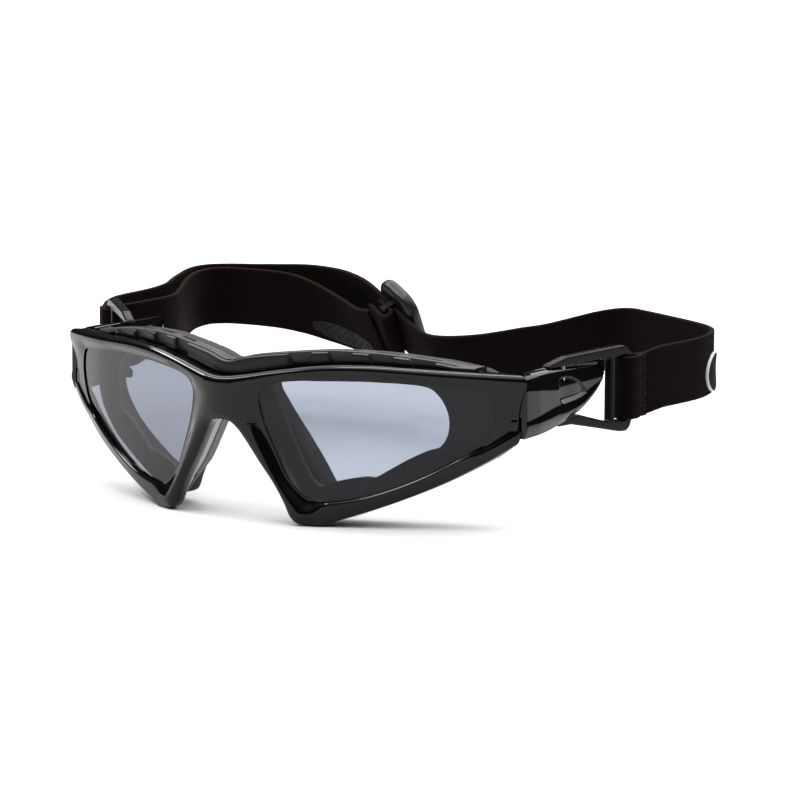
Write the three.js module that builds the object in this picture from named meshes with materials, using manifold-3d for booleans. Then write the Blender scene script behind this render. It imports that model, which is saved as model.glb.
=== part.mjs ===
// Strap-on motorcycle goggles: a wrapped front frame with two smoke lenses, a vented
// gasket carrier with face foam behind it, two short hinged strap arms, pivoting strap
// loops and an adjustable elastic strap with a tri-glide slider.
// Millimetres, +Z up. The front faces -Y, the wearer's left is +X.
// The origin is the top of the nose arch, on the front surface.
import * as THREE from 'three';
import { mergeVertices } from 'three/addons/utils/BufferGeometryUtils.js';
import Module from 'manifold-3d';
const wasm = await Module();
wasm.setup();

// ---------------------------------------------------------------- driving dimensions
const SEAM_Y = 33.4;            // plane where the front ends and the arms begin
const FRAME_DEPTH = 5.4;        // front-to-back depth of the moulded front
const LENS_RECESS = 1.5;        // the lens sits this far behind the rim's front
const LENS_THICK = 2.0;
const LENS_LAND = 1.2;          // how far the lens runs under the rim
const PLATE_Y = [6.2, 8.0];     // gasket carrier plate, measured behind the front surface
const VENT_COUNT = 4;           // vents in each half of the brow
const FOAM_Y = [8.3, 15.5];     // face foam, measured behind the front surface
const FOAM_SPLIT = 50;           // the foam's soft outer ends start here
const GAP = 0.3;                // clearance between pieces that touch
const HINGE = [68.2, 35.4];     // arm hinge axis, x and y
const HINGE_SCREW_R = 0.75;
const PIVOT = [69.3, 54.5];     // strap loop pivot axis, x and y
const PIN_R = 0.8;
const LOOP_THICK = 2.6;
const LOOP_TURN_LEFT = 7;       // degrees outward at rest
const LOOP_TURN_RIGHT = 46;     // degrees outward at rest
const STRAP_W = 16.5;           // width of the elastic webbing
const STRAP_T = 1.3;            // thickness of one layer
const SLIDER = { along: 16, across: 25, thick: 2.2 };

// ---------------------------------------------------------------- front surface
const CA = 1.459e-3, CB = 0.3402, CC = -2.8434e-3, CT = 0.0603, CE = 5.0726e-3;
const NOSE_FLAT = 5;
function front(x, z) {
  const a = Math.abs(x);
  const h = a > NOSE_FLAT ? a : (a * a) / (2 * NOSE_FLAT) + NOSE_FLAT / 2;
  return CA * x * x + CB * h + CC * ((z + 16.8) ** 2 - 16.8 ** 2) + CT * z + CE * Math.max(0, a - 52.5) ** 2;
}

// ---------------------------------------------------------------- solids
function manifoldOf(geometry) {
  let g = geometry.index ? geometry.clone() : geometry.clone();
  g.deleteAttribute('normal');
  g.deleteAttribute('uv');
  g = mergeVertices(g, 1e-4);
  return fromArrays(Array.from(g.attributes.position.array), Array.from(g.index.array));
}
function fromArrays(v, t) {
  let vol = 0;
  for (let i = 0; i < t.length; i += 3) {
    const [a, b, c] = [t[i] * 3, t[i + 1] * 3, t[i + 2] * 3];
    vol += v[a] * (v[b + 1] * v[c + 2] - v[b + 2] * v[c + 1])
      - v[a + 1] * (v[b] * v[c + 2] - v[b + 2] * v[c])
      + v[a + 2] * (v[b] * v[c + 1] - v[b + 1] * v[c]);
  }
  if (vol < 0) for (let i = 0; i < t.length; i += 3) [t[i], t[i + 1]] = [t[i + 1], t[i]];
  return new wasm.Manifold(new wasm.Mesh({ numProp: 3, vertProperties: new Float32Array(v), triVerts: new Uint32Array(t) }));
}
function geometryOf(m) {
  const mesh = m.getMesh();
  const g = new THREE.BufferGeometry();
  const n = mesh.numProp, count = mesh.vertProperties.length / n;
  const p = new Float32Array(count * 3);
  for (let i = 0; i < count; i++) for (let k = 0; k < 3; k++) p[i * 3 + k] = mesh.vertProperties[i * n + k];
  g.setAttribute('position', new THREE.BufferAttribute(p, 3));
  g.setIndex(new THREE.BufferAttribute(new Uint32Array(mesh.triVerts), 1));
  g.computeVertexNormals();
  return g;
}
// A slab between two height fields y = f(x, z) over a rectangle.
function slab(x0, x1, nx, z0, z1, nz, yf, yb) {
  const v = [], t = [], id = (s, i, j) => (s * (nx + 1) + i) * (nz + 1) + j;
  for (let s = 0; s < 2; s++)
    for (let i = 0; i <= nx; i++)
      for (let j = 0; j <= nz; j++) {
        const x = x0 + ((x1 - x0) * i) / nx, z = z0 + ((z1 - z0) * j) / nz;
        v.push(x, s ? yb(x, z) : yf(x, z), z);
      }
  const quad = (a, b, c, d) => t.push(a, b, c, a, c, d);
  for (let i = 0; i < nx; i++)
    for (let j = 0; j < nz; j++) {
      quad(id(0, i, j), id(0, i + 1, j), id(0, i + 1, j + 1), id(0, i, j + 1));
      quad(id(1, i, j + 1), id(1, i + 1, j + 1), id(1, i + 1, j), id(1, i, j));
    }
  for (let i = 0; i < nx; i++) {
    quad(id(0, i + 1, 0), id(0, i, 0), id(1, i, 0), id(1, i + 1, 0));
    quad(id(0, i, nz), id(0, i + 1, nz), id(1, i + 1, nz), id(1, i, nz));
  }
  for (let j = 0; j < nz; j++) {
    quad(id(0, 0, j), id(0, 0, j + 1), id(1, 0, j + 1), id(1, 0, j));
    quad(id(0, nx, j + 1), id(0, nx, j), id(1, nx, j), id(1, nx, j + 1));
  }
  return fromArrays(v, t);
}
function wound(points, ccw) {
  const v = points.map((p) => new THREE.Vector2(p[0], p[1]));
  return THREE.ShapeUtils.isClockWise(v) === ccw ? v.reverse() : v;
}
function extrude(points, depth, holes = []) {
  const s = new THREE.Shape(wound(points, true));
  for (const h of holes) s.holes.push(new THREE.Path(wound(h, false)));
  return new THREE.ExtrudeGeometry(s, { depth, bevelEnabled: false });
}
// outline in (x, z), running along Y from y0 to y1
function prismY(points, y0, y1, holes = []) {
  const g = extrude(points, y1 - y0, holes);
  g.rotateX(Math.PI / 2); // (x, y, z) -> (x, -z, y)
  g.translate(0, y1, 0);
  return manifoldOf(g);
}
// outline in (y, z), running along X from x0 to x1
function prismX(points, x0, x1, holes = []) {
  const g = extrude(points, x1 - x0, holes);
  g.applyMatrix4(new THREE.Matrix4().set(0, 0, 1, x0, 1, 0, 0, 0, 0, 1, 0, 0, 0, 0, 0, 1));
  return manifoldOf(g);
}
// outline in (x, y), running along Z from z0 to z1
function prismZ(points, z0, z1, holes = []) {
  const g = extrude(points, z1 - z0, holes);
  g.translate(0, 0, z0);
  return manifoldOf(g);
}
function rod(r, x, y, z0, z1, sides = 20) {
  const g = new THREE.CylinderGeometry(r, r, z1 - z0, sides);
  g.rotateX(Math.PI / 2);
  g.translate(x, y, (z0 + z1) / 2);
  return manifoldOf(g);
}
// offsets a closed outline outward by d
function offset(points, d) {
  let area = 0;
  const n = points.length;
  for (let i = 0; i < n; i++) {
    const [a, b] = [points[i], points[(i + 1) % n]];
    area += a[0] * b[1] - b[0] * a[1];
  }
  const s = area > 0 ? 1 : -1;
  return points.map((p, i) => {
    const a = points[(i + n - 1) % n], b = points[(i + 1) % n];
    const e1 = [p[0] - a[0], p[1] - a[1]], e2 = [b[0] - p[0], b[1] - p[1]];
    const l1 = Math.hypot(...e1), l2 = Math.hypot(...e2);
    const n1 = [(s * e1[1]) / l1, (-s * e1[0]) / l1], n2 = [(s * e2[1]) / l2, (-s * e2[0]) / l2];
    const m = [n1[0] + n2[0], n1[1] + n2[1]], k = m[0] * n1[0] + m[1] * n1[1];
    return [p[0] + (m[0] * d) / Math.max(k, 0.5), p[1] + (m[1] * d) / Math.max(k, 0.5)];
  });
}
const mirror = (points) => points.map((p) => [-p[0], p[1]]);
const both = (half) => [...half, ...mirror(half).reverse()];
const offBack = (d) => (x, z) => front(x, z) + d;

// ---------------------------------------------------------------- outlines, right half of the drawing (x >= 0)
const LENS_OPENING = [[11.6, 8.6], [14.7, 10.1], [26.5, 11.3], [36.1, 11.5], [45.6, 11.3], [52.4, 10.4], [59.3, 9.9],
  [63.4, 9.2], [65.0, 5.7], [65.0, 2], [62.5, -3.8], [54.6, -9.6], [45.4, -14.6], [36, -18.2], [29, -19.6], [25, -20],
  [22.6, -19.4], [17.9, -15.3], [14.3, -7.6], [11.3, 0.1], [10.3, 6.4]];
const FRAME_TOP = [[0, 11.2], [3, 11.4], [6.8, 12], [16.8, 13.8], [26.7, 15.1], [36.3, 15.4], [45.7, 15], [55, 14.5], [64, 14.0], [74, 13.4]];
const FRAME_BOTTOM = [[74, -1.6], [71.6, -2.6], [63.4, -8.4], [54.6, -13.8], [45.5, -18.3], [36.2, -22.2], [29, -24.8], [25, -26.1],
  [20.6, -26.1], [19.2, -25.6], [17.8, -24.1], [16.1, -20.6], [13.5, -16], [9.8, -10.5], [6.3, -4.9], [4.2, -1.8], [2.7, -0.5], [0, 0]];
const FRAME_OUTLINE = both([...FRAME_TOP, ...FRAME_BOTTOM]).filter((p, i, a) => !(i && Math.abs(p[0] - a[i - 1][0]) < 1e-9 && Math.abs(p[1] - a[i - 1][1]) < 1e-9));
FRAME_OUTLINE.pop();
const WINDOW = [[11.2, 8.6], [14.3, -1.9], [18.9, -12.7], [21.4, -16.2], [22.9, -16.7], [24.9, -15.8], [29.2, -14.6], [33.6, -13.9],
  [35.2, -14], [38.8, -11.8], [43.5, -8.8], [48.2, -6.4], [50, -5.9], [51.9, -3], [52.4, 1.2], [51.6, 4.8], [49.8, 7.9],
  [47.9, 9.4], [36.6, 10.4], [22.1, 10.2], [14, 9.8]];
const GASKET = [[0, 15.0], [6.4, 16.4], [19, 17.9], [26.4, 18.4], [36, 18.1], [45.4, 17.1], [54.7, 15.5], [60, 13.6], [62.5, 10.5],
  [63.5, 5], [62.4, -3.5], [54, -11.6], [45, -16.3], [36, -20.2], [28.6, -22.8], [23, -24.0], [20.6, -23.2], [18.8, -19.6],
  [16.0, -14.4], [12.4, -8.8], [9.2, -3.6], [6.8, 0.6], [4.2, 3.4], [0, 4.4]];
const GASKET_OUTLINE = both(GASKET).filter((p, i, a) => !(i && Math.hypot(p[0] - a[i - 1][0], p[1] - a[i - 1][1]) < 1e-9));
GASKET_OUTLINE.pop();

// ---------------------------------------------------------------- scene
const group = new THREE.Group();
function add(name, solid, color, roughness, metalness = 0, extra = {}) {
  const m = new THREE.Mesh(geometryOf(solid), new THREE.MeshStandardMaterial({ color, roughness, metalness, ...extra }));
  m.name = name;
  group.add(m);
}
const GLOSS = 0x0b0a0d, MATTE = 0x1b1a1e, FOAM = 0x262327, WEB = 0x16100f, STEEL = 0xb8b8bc, PAD = 0x8f8a88;

// front frame, with a rebate behind each rim for the lens and two hinge lugs at each end
{
  let f = slab(-76, 76, 60, -29, 18, 8, offBack(0), offBack(FRAME_DEPTH)).intersect(prismY(FRAME_OUTLINE, -10, SEAM_Y));
  for (const side of [1, -1]) {
    const open = side > 0 ? LENS_OPENING : mirror(LENS_OPENING);
    // hinge lugs
    for (const [z0, z1] of [[-0.6, 2.6], [8.6, 11.8]]) {
      const lug = prismZ([[66.8, 31.6], [69.6, 32.9], [70.2, HINGE[1]], [HINGE[0] + 1.2, HINGE[1] + 1.5], [HINGE[0] - 1.2, HINGE[1] + 1.5], [HINGE[0] - 1.9, HINGE[1]], [66.1, SEAM_Y + 0.4]].map((p) => [side * p[0], p[1]]), z0, z1);
      f = f.add(lug);
    }
    f = f.subtract(prismY(open, -12, 60));
    const land = offset(open, LENS_LAND + 0.3);
    f = f.subtract(slab(-76, 76, 60, -29, 18, 8, offBack(LENS_RECESS - 0.3), offBack(40)).intersect(prismY(land, -12, 60)));
    f = f.subtract(rod(HINGE_SCREW_R + 0.25, side * HINGE[0], HINGE[1], -4, 16));
  }
  add('front_frame', f, GLOSS, 0.12);
}
// lenses
for (const side of [1, -1]) {
  const open = side > 0 ? LENS_OPENING : mirror(LENS_OPENING);
  const lens = slab(side > 0 ? 6 : -70, side > 0 ? 70 : -6, 26, -24, 15, 6, offBack(LENS_RECESS), offBack(LENS_RECESS + LENS_THICK))
    .intersect(prismY(offset(open, LENS_LAND), -12, 60));
  add(side > 0 ? 'lens_left' : 'lens_right', lens, 0x3b4454, 0.05, 0, { transparent: true, opacity: 0.45 });
}
// gasket carrier: a plate with two windows and a raised brow wall cut by vents
{
  let c = slab(-66, 66, 44, -27, 21, 6, offBack(PLATE_Y[0]), offBack(PLATE_Y[1]))
    .intersect(prismY(GASKET_OUTLINE, -12, 60, [WINDOW, mirror(WINDOW)]));
  // brow wall standing above the frame's top edge
  const brow = [[0, 15.0], [6.4, 16.4], [19, 17.9], [26.4, 18.4], [36, 18.1], [45.4, 17.1], [54.7, 15.5], [59.4, 13.8]];
  const browLow = brow.map((p) => [p[0], p[1] - 2.6]).reverse();
  const halfWall = [...brow, ...browLow];
  const wall = slab(-66, 66, 44, 8, 21, 3, offBack(4.6), offBack(10.2));
  const strip = (pts) => wall.intersect(prismY(pts, -12, 60));
  let w = strip(halfWall).add(strip(mirror(halfWall)));
  w = w.subtract(slab(-76, 76, 60, -29, 16.2, 8, offBack(-2), offBack(FRAME_DEPTH + GAP)).intersect(prismY(offset(FRAME_OUTLINE, GAP), -10, 60)));
  c = c.add(w);
  for (const side of [1, -1])
    for (let i = 0; i < VENT_COUNT; i++) {
      const x = side * (17.5 + i * 9.6), y = front(x, 14);
      const v = new THREE.BoxGeometry(5.4, 4.2, 5.0);
      v.rotateZ(side * 0.42);
      v.translate(x, y + 6.4, [14.6, 15.1, 14.9, 14.2][i]);
      c = c.subtract(manifoldOf(v));
    }
  add('gasket_carrier', c, MATTE, 0.6);
}
// face foam: a narrow soft ring following the outer edge behind the carrier
{
  const outer = offset(GASKET_OUTLINE, -0.5);
  const inner = [[8.6, 8.4], [10.5, 12.2], [19, 13.3], [26.4, 13.8], [36, 13.5], [45.4, 12.6], [52.5, 11.2], [57.4, 8.6], [58.6, 3.5], [57.4, -2.4],
    [50.5, -8.6], [43.5, -12.3], [35, -16], [28, -18.4], [24.2, -19.2], [22.3, -16.8], [19.2, -11.2], [15.2, -4.4], [11.5, 1.8]];
  let f = slab(-66, 66, 40, -27, 21, 6, offBack(FOAM_Y[0]), offBack(FOAM_Y[1]))
    .intersect(prismY(outer, -12, 60, [inner, mirror(inner)]));
  const browCut = both([[0, 30], [70, 30], [70, 8], [61, 10.4], [54.7, 12.3], [45.4, 13.9], [36, 14.9], [26.4, 15.2], [19, 14.7], [6.4, 13.2], [0, 11.8]])
    .filter((p, i, a) => !(i && Math.hypot(p[0] - a[i - 1][0], p[1] - a[i - 1][1]) < 1e-9)).slice(0, -1);
  f = f.subtract(slab(-66, 66, 44, 8, 21, 3, offBack(4.6), offBack(10.5)).intersect(prismY(browCut, -12, 60)));
  // the soft outer ends, which a folded arm presses flat
  for (const side of [1, -1]) {
    const end = prismZ([[FOAM_SPLIT, 0], [80, 0], [80, 70], [FOAM_SPLIT, 70]].map((p) => [side * p[0], p[1]]), -40, 40);
    add(side > 0 ? 'foam_end_left' : 'foam_end_right', f.intersect(prismZ([[FOAM_SPLIT + GAP, 0], [80, 0], [80, 70], [FOAM_SPLIT + GAP, 70]].map((p) => [side * p[0], p[1]]), -40, 40)), FOAM, 0.9);
    f = f.subtract(end);
  }
  add('face_foam', f, FOAM, 0.9);
}
// nose pads: thin soft leaves on each side of the nose arch
for (const side of [1, -1]) {
  const leaf = [[5.2, 0.6], [7.6, -2.6], [10.7, -7.6], [14.2, -13.0], [17.1, -18.2], [18.9, -22.6], [17.7, -21.6], [15.4, -17.3], [12.6, -12.9], [9.2, -7.6], [6.2, -2.9], [4.0, 0.2]];
  const pts = side > 0 ? leaf : mirror(leaf);
  const p = slab(side > 0 ? 2 : -24, side > 0 ? 24 : -2, 12, -25, 4, 10, offBack(5.8), offBack(12.5)).intersect(prismY(pts, -12, 40));
  add(side > 0 ? 'nose_pad_left' : 'nose_pad_right', p, PAD, 0.45);
}
// strap arms, hinge screws, loop pins
const ARM_SIDE = [[SEAM_Y + GAP, 13.4], [44, 13.55], [60, 13.1], [71.8, 12.6], [72.5, 11.6], [72.4, 8.4], [66.7, 3.9], [61.5, 1.4], [58.2, 0.9],
  [51.3, 0.9], [51.3, -1.1], [43.1, -2.1], [SEAM_Y + GAP, -2.6]];
const ARM_PLAN = [[72.3, SEAM_Y + GAP], [72.5, 40], [72.1, 50], [71.6, 62], [71.2, 72.5], [69.9, 72.5], [68.6, 62], [67.4, 50], [67.2, 40], [67.2, SEAM_Y + GAP]];
for (const side of [1, -1]) {
  const s = (pts) => pts.map((p) => [side * p[0], p[1]]);
  const L = side > 0 ? 'left' : 'right';
  let a = prismX(ARM_SIDE, side > 0 ? 60 : -80, side > 0 ? 80 : -60).intersect(prismZ(s(ARM_PLAN), -6, 18));
  // room for the frame's two lugs, and the arm's own lug between them
  for (const [z0, z1] of [[-6, 2.9], [8.3, 18]]) a = a.subtract(prismZ(s([[60, 32], [70.6, 32], [70.6, HINGE[1] + 2.6], [60, HINGE[1] + 2.6]]), z0, z1));
  a = a.add(prismZ(s([[71.2, HINGE[1] - 1.4], [71.2, HINGE[1] + 2.9], [HINGE[0] - 1.2, HINGE[1] + 1.5], [HINGE[0] - 1.9, HINGE[1]], [HINGE[0] - 1.2, HINGE[1] - 1.4], [HINGE[0] + 1, HINGE[1] - 1.4]]), 2.9, 8.3));
  a = a.subtract(rod(HINGE_SCREW_R + 0.25, side * HINGE[0], HINGE[1], -8, 18));
  // bore for the loop pin
  a = a.subtract(rod(PIN_R + 0.25, side * PIVOT[0], PIVOT[1], -8, 18));
  // shallow pointed pocket in the outer face
  a = a.subtract(prismX([[49.9, 10.2], [56, 9.6], [65.0, 5.2], [56, 4.4], [49.6, 4.8]], side > 0 ? 71.2 : -76, side > 0 ? 76 : -71.2));
  add(`strap_arm_${L}`, a, GLOSS, 0.14);
  add(`hinge_screw_${L}`, rod(HINGE_SCREW_R, side * HINGE[0], HINGE[1], -0.4, 12.1).add(rod(1.5, side * HINGE[0], HINGE[1], 12.1, 12.9)), STEEL, 0.3, 1);
  add(`loop_pin_${L}`, rod(PIN_R, side * PIVOT[0], PIVOT[1], -1.2, 15.2), STEEL, 0.3, 1);
}
// strap loops: an open-fronted ring with a cross bar and a slot for the webbing; outlines in (v, z), v from the pivot
const LOOP_OUT = [[-6.6, 13.9], [-6.0, 14.5], [0.7, 15.9], [12.1, 16.2], [23.7, 16.4], [26.2, 15.4], [27.6, 13.6], [27.5, -3.6], [26.6, -5.4], [25.2, -6.2],
  [22.8, -6.1], [12.5, -3.9], [3.0, -1.9], [-2.6, -1.9], [-2.6, 0.5], [5.4, 0.5], [17.9, -2.9], [18.6, -2.6], [18.6, 13.6], [-6.4, 13.88]];
const LOOP_SLOT = [[20.4, -3.4], [25.1, -3.4], [25.1, 13.5], [20.4, 13.5]];
function place(side, turn) {
  // local (w outward, v back, z) -> world
  const a = THREE.MathUtils.degToRad(turn);
  const d = [Math.sin(a), Math.cos(a)], n = [Math.cos(a), -Math.sin(a)];
  return (w, v) => [side * (PIVOT[0] + v * d[0] + w * n[0]), PIVOT[1] + v * d[1] + w * n[1]];
}
function turned(solidGeometry, side, turn) {
  const at = place(side, turn), g = solidGeometry.clone(), p = g.attributes.position;
  for (let i = 0; i < p.count; i++) {
    const [x, y] = at(p.getX(i), p.getY(i));
    p.setXY(i, x, y);
  }
  return manifoldOf(g);
}
for (const [side, turn, L] of [[1, LOOP_TURN_LEFT, 'left'], [-1, LOOP_TURN_RIGHT, 'right']]) {
  const g = extrude(LOOP_OUT, LOOP_THICK, [LOOP_SLOT]);
  g.applyMatrix4(new THREE.Matrix4().set(0, 0, 1, -LOOP_THICK / 2, 1, 0, 0, 0, 0, 1, 0, 0, 0, 0, 0, 1));
  const at = place(side, turn);
  const [px, py] = at(0, 0);
  let loop = turned(g, side, turn);
  loop = loop.subtract(rod(PIN_R + 0.25, px, py, -3, 15.5));
  add(`strap_loop_${L}`, loop, MATTE, 0.35);
}

// ---------------------------------------------------------------- webbing
// rows: x, y, z of the top edge, and how far the top leans inward in degrees
const MAIN = [[73.4, 87.6, 13.6, 0], [74.3, 94, 14.4, 0], [74.8, 101, 14.5, 0], [75, 107, 14.5, 0], [74.9, 113, 14.5, 0], [73.8, 119, 14.5, 0],
  [71.9, 124.5, 14.5, 0], [68.9, 130, 14.5, 0], [65, 134, 14.5, 0], [59.4, 137.5, 14.5, 0], [52, 141.3, 14.5, 0], [44.6, 144.8, 14.5, 0],
  [38, 147.8, 14.5, 0], [31.6, 150.1, 14.5, 0], [27.2, 150.2, 14.1, 0], [21.4, 148.2, 12.9, 0], [13.2, 144.6, 10.4, 0], [8, 142.6, 8.9, 2], [1.6, 140.9, 7.6, 4],
  [-5.9, 139.8, 5.9, 8], [-10.7, 139.1, 4.9, 12], [-16.7, 138.5, 4.0, 18], [-22.9, 138.4, 3.4, 24], [-27.7, 138.9, 3.3, 28], [-31.8, 140.0, 4.1, 30],
  [-38, 142.2, 6.9, 30], [-44, 144.4, 9.8, 30], [-50.2, 146.7, 12.9, 30], [-55.7, 148.9, 15.0, 28], [-62, 151.8, 16.2, 22], [-69.1, 154.8, 16.8, 14],
  [-81.7, 158, 16.8, 5], [-94.3, 158.8, 15.9, 0], [-102, 158.2, 15.4, 0], [-108.5, 156.2, 15.2, 0], [-112.6, 151.8, 15.2, 0], [-113.4, 146, 15.2, 0],
  [-111.8, 139, 15.1, 0], [-108.8, 132, 15, 0], [-105.8, 125, 14.9, 0], [-101.3, 115.5, 14.6, 0], [-98.8, 106, 14.5, 0], [-97.8, 98, 14.5, 0],
  [-97.2, 90, 14.5, 0], [-96.4, 84.5, 14.4, 0], [-95.0, 79.6, 14.0, 0], [-92.6, 75.0, 13.4, 0]];
const INNER = [[-36.5, 136.9, 2.8, 30], [-44, 139.6, 6.4, 30], [-50.2, 141.9, 9.5, 30], [-55.7, 144.2, 12.2, 28], [-62, 147.2, 14.4, 22], [-70, 150.4, 15.6, 14],
  [-79, 152.2, 16, 5], [-86, 152.2, 15.6, 0], [-93, 151.0, 15.2, 0], [-99, 150.6, 15.2, 0], [-104.5, 149.2, 15.2, 0], [-107.6, 145.4, 15.2, 0],
  [-107.2, 138.6, 15.1, 0], [-103.6, 129.5, 15, 0], [-97.2, 118, 14.8, 0], [-90.6, 107, 14.6, 0], [-86.2, 98.5, 14.5, 0], [-84.8, 92, 14.5, 0],
  [-85.8, 86, 14.2, 0], [-87.7, 81.4, 13.8, 0], [-90.0, 78.2, 13.4, 0]];
function ribbon(rows, i0, i1, { n0 = -STRAP_T / 2, n1 = STRAP_T / 2, w0 = 0, w1 = STRAP_W, steps = 2, trim0 = 0.2, trim1 = 0.2 } = {}) {
  const curve = new THREE.CatmullRomCurve3(rows.map((r) => new THREE.Vector3(r[0], r[1], r[2])), false, 'centripetal');
  const N = rows.length - 1, verts = [], tris = [];
  const count = Math.max(2, Math.round((i1 - i0) * steps));
  const L = curve.getPoint(i0 / N).distanceTo(curve.getPoint((i0 + 0.2) / N)) / 0.2;
  const L1 = curve.getPoint(i1 / N).distanceTo(curve.getPoint((i1 - 0.2) / N)) / 0.2;
  const a = i0 + trim0 / L, b = i1 - trim1 / L1;
  for (let k = 0; k <= count; k++) {
    const u = a + ((b - a) * k) / count, f = Math.min(Math.floor(u), N - 1), r = u - f;
    const lean = THREE.MathUtils.degToRad(rows[f][3] * (1 - r) + rows[f + 1][3] * r);
    const p = curve.getPoint(u / N), t = curve.getTangent(u / N);
    const w = new THREE.Vector3(0, 0, 1).addScaledVector(t, -t.z).normalize();
    const n = new THREE.Vector3().crossVectors(t, w);
    const wl = w.clone().multiplyScalar(Math.cos(lean)).addScaledVector(n, -Math.sin(lean));
    const nl = new THREE.Vector3().crossVectors(t, wl);
    for (const [dn, dw] of [[n0, w0], [n1, w0], [n1, w1], [n0, w1]]) {
      const q = p.clone().addScaledVector(nl, dn).addScaledVector(wl, -dw);
      verts.push(q.x, q.y, q.z);
    }
  }
  for (let k = 0; k < count; k++)
    for (let c = 0; c < 4; c++) {
      const [p, q, r2, s] = [k * 4 + c, k * 4 + ((c + 1) % 4), (k + 1) * 4 + ((c + 1) % 4), (k + 1) * 4 + c];
      tris.push(p, q, r2, p, r2, s);
    }
  const e = count * 4;
  tris.push(0, 2, 1, 0, 3, 2, e, e + 1, e + 2, e, e + 2, e + 3);
  return fromArrays(verts, tris);
}
// folded ends around the loops' rear bars, in (w, v)
{
  const outerU = [[2.95, 25.2], [2.95, 28.4], [1.45, 31.2], [1.45, 33.3], [-1.45, 33.3], [-1.45, 31.2], [-2.95, 28.4], [-2.95, 25.2], [-2.1, 23.7], [2.1, 23.7]];
  const innerU = [[1.65, 25.6], [1.65, 28.2], [0.2, 29.9], [-0.2, 29.9], [-1.65, 28.2], [-1.65, 25.6], [-1.2, 24.8], [1.2, 24.8]];
  const g = extrude(outerU, 16.4, [innerU]);
  g.translate(0, 0, -3.1);
  add('strap_fold_left', turned(g, 1, LOOP_TURN_LEFT), WEB, 0.9);
  // right: the webbing turns round the bar and both layers run on
  const c = [[2.95, 29.6], [2.95, 25.3], [2.1, 23.7], [-2.1, 23.7], [-2.95, 25.3], [-2.95, 29.6], [-1.65, 29.6], [-1.65, 25.7], [-1.2, 24.8], [1.2, 24.8], [1.65, 25.7], [1.65, 29.6]];
  const h = extrude(c, 16.4);
  h.translate(0, 0, -3.1);
  add('strap_fold_right', turned(h, -1, LOOP_TURN_RIGHT), WEB, 0.9);
}
add('strap_side_left', ribbon(MAIN, 0, 3, { trim0: 0.4 }), WEB, 0.9);
add('strap_corner_left', ribbon(MAIN, 3, 13), WEB, 0.9);
add('strap_rear', ribbon(MAIN, 13, 32), WEB, 0.9);
add('strap_corner_right', ribbon(MAIN, 32, 41), WEB, 0.9);
add('strap_side_right', ribbon(MAIN, 41, 46, { trim1: 0.4 }), WEB, 0.9);
add('strap_return_rear', ribbon(INNER, 2.0, 8), WEB, 0.9);
add('strap_return_corner', ribbon(INNER, 8, 15), WEB, 0.9);
add('strap_return_side', ribbon(INNER, 15, 20, { trim1: 0.4 }), WEB, 0.9);
add('strap_badge', ribbon(MAIN, 4.6, 7.2, { n0: 0.95, n1: 1.45, w0: 5.4, w1: 16.2 - 0.2, steps: 3, trim0: 0, trim1: 0 }), 0x3a3634, 0.5);
add('grip_patch', ribbon(INNER, 3.2, 5.7, { n0: -1.35, n1: -0.95, w0: 10, w1: 15.9, steps: 3, trim0: 0, trim1: 0 }), 0x2c292b, 0.5);

// slider: a frame on the outside of the webbing with its centre bar on the inside, and the sewn end around the bar
{
  const A = new THREE.Vector3(-31.8, 140.0, 4.1), B = new THREE.Vector3(-55.7, 148.9, 15.0);
  const t = B.clone().sub(A).normalize();
  const w0 = new THREE.Vector3(0, 0, 1).addScaledVector(t, -t.z).normalize();
  const n0 = new THREE.Vector3().crossVectors(t, w0);
  const lean = THREE.MathUtils.degToRad(30);
  const w = w0.clone().multiplyScalar(Math.cos(lean)).addScaledVector(n0, -Math.sin(lean));
  const n = new THREE.Vector3().crossVectors(t, w);
  const centre = new THREE.Vector3(-43.8, 144.35, 9.75).addScaledVector(w, -STRAP_W / 2);
  const toWorld = new THREE.Matrix4().makeBasis(t, w, n).setPosition(centre); // local x along the strap, y across, z outward
  const localSolid = (g) => { const k = g.clone(); k.applyMatrix4(toWorld); return manifoldOf(k); };
  const rounded = (a, b, r, seg = 5) => {
    const pts = [];
    for (const [cx, cy, s] of [[a - r, b - r, 0], [-a + r, b - r, 1], [-a + r, -b + r, 2], [a - r, -b + r, 3]])
      for (let i = 0; i <= seg; i++) { const q = (Math.PI / 2) * (s + i / seg); pts.push([cx + r * Math.cos(q), cy + r * Math.sin(q)]); }
    return pts;
  };
  const fr = extrude(rounded(SLIDER.along / 2, SLIDER.across / 2, 5.2), SLIDER.thick, [rounded(5.1, 9.6, 1.0, 2)]);
  fr.translate(0, 0, 1.05);
  let s = localSolid(fr);
  const bar = new THREE.BoxGeometry(3.2, 22, 1.2); bar.translate(0, 0, -3.1);
  s = s.add(localSolid(bar));
  for (const k of [1, -1]) { const post = new THREE.BoxGeometry(3.2, 1.8, 5.2); post.translate(0, k * 10.2, -1.1); s = s.add(localSolid(post)); }
  add('strap_slider', s, MATTE, 0.35);
  // sewn end of the return layer, turned round the centre bar: outline in (x, z) local, drawn across the webbing
  const wrapPts = [[4.6, -5.3], [-2.6, -5.3], [-3.5, -4.2], [-3.5, -2.0], [-2.9, -0.95], [4.0, -0.95], [4.0, -2.2], [-1.95, -2.2], [-1.95, -4.0], [4.6, -4.0]];
  const wr = extrude(wrapPts, 16);
  wr.applyMatrix4(new THREE.Matrix4().set(1, 0, 0, 0, 0, 0, 1, -8, 0, 1, 0, 0, 0, 0, 0, 1));
  add('strap_wrap', localSolid(wr), WEB, 0.9);
}
export default group;
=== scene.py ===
import math

import bmesh
import bpy
import numpy as np
from mathutils import Matrix, Vector
from mathutils.geometry import delaunay_2d_cdt


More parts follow.
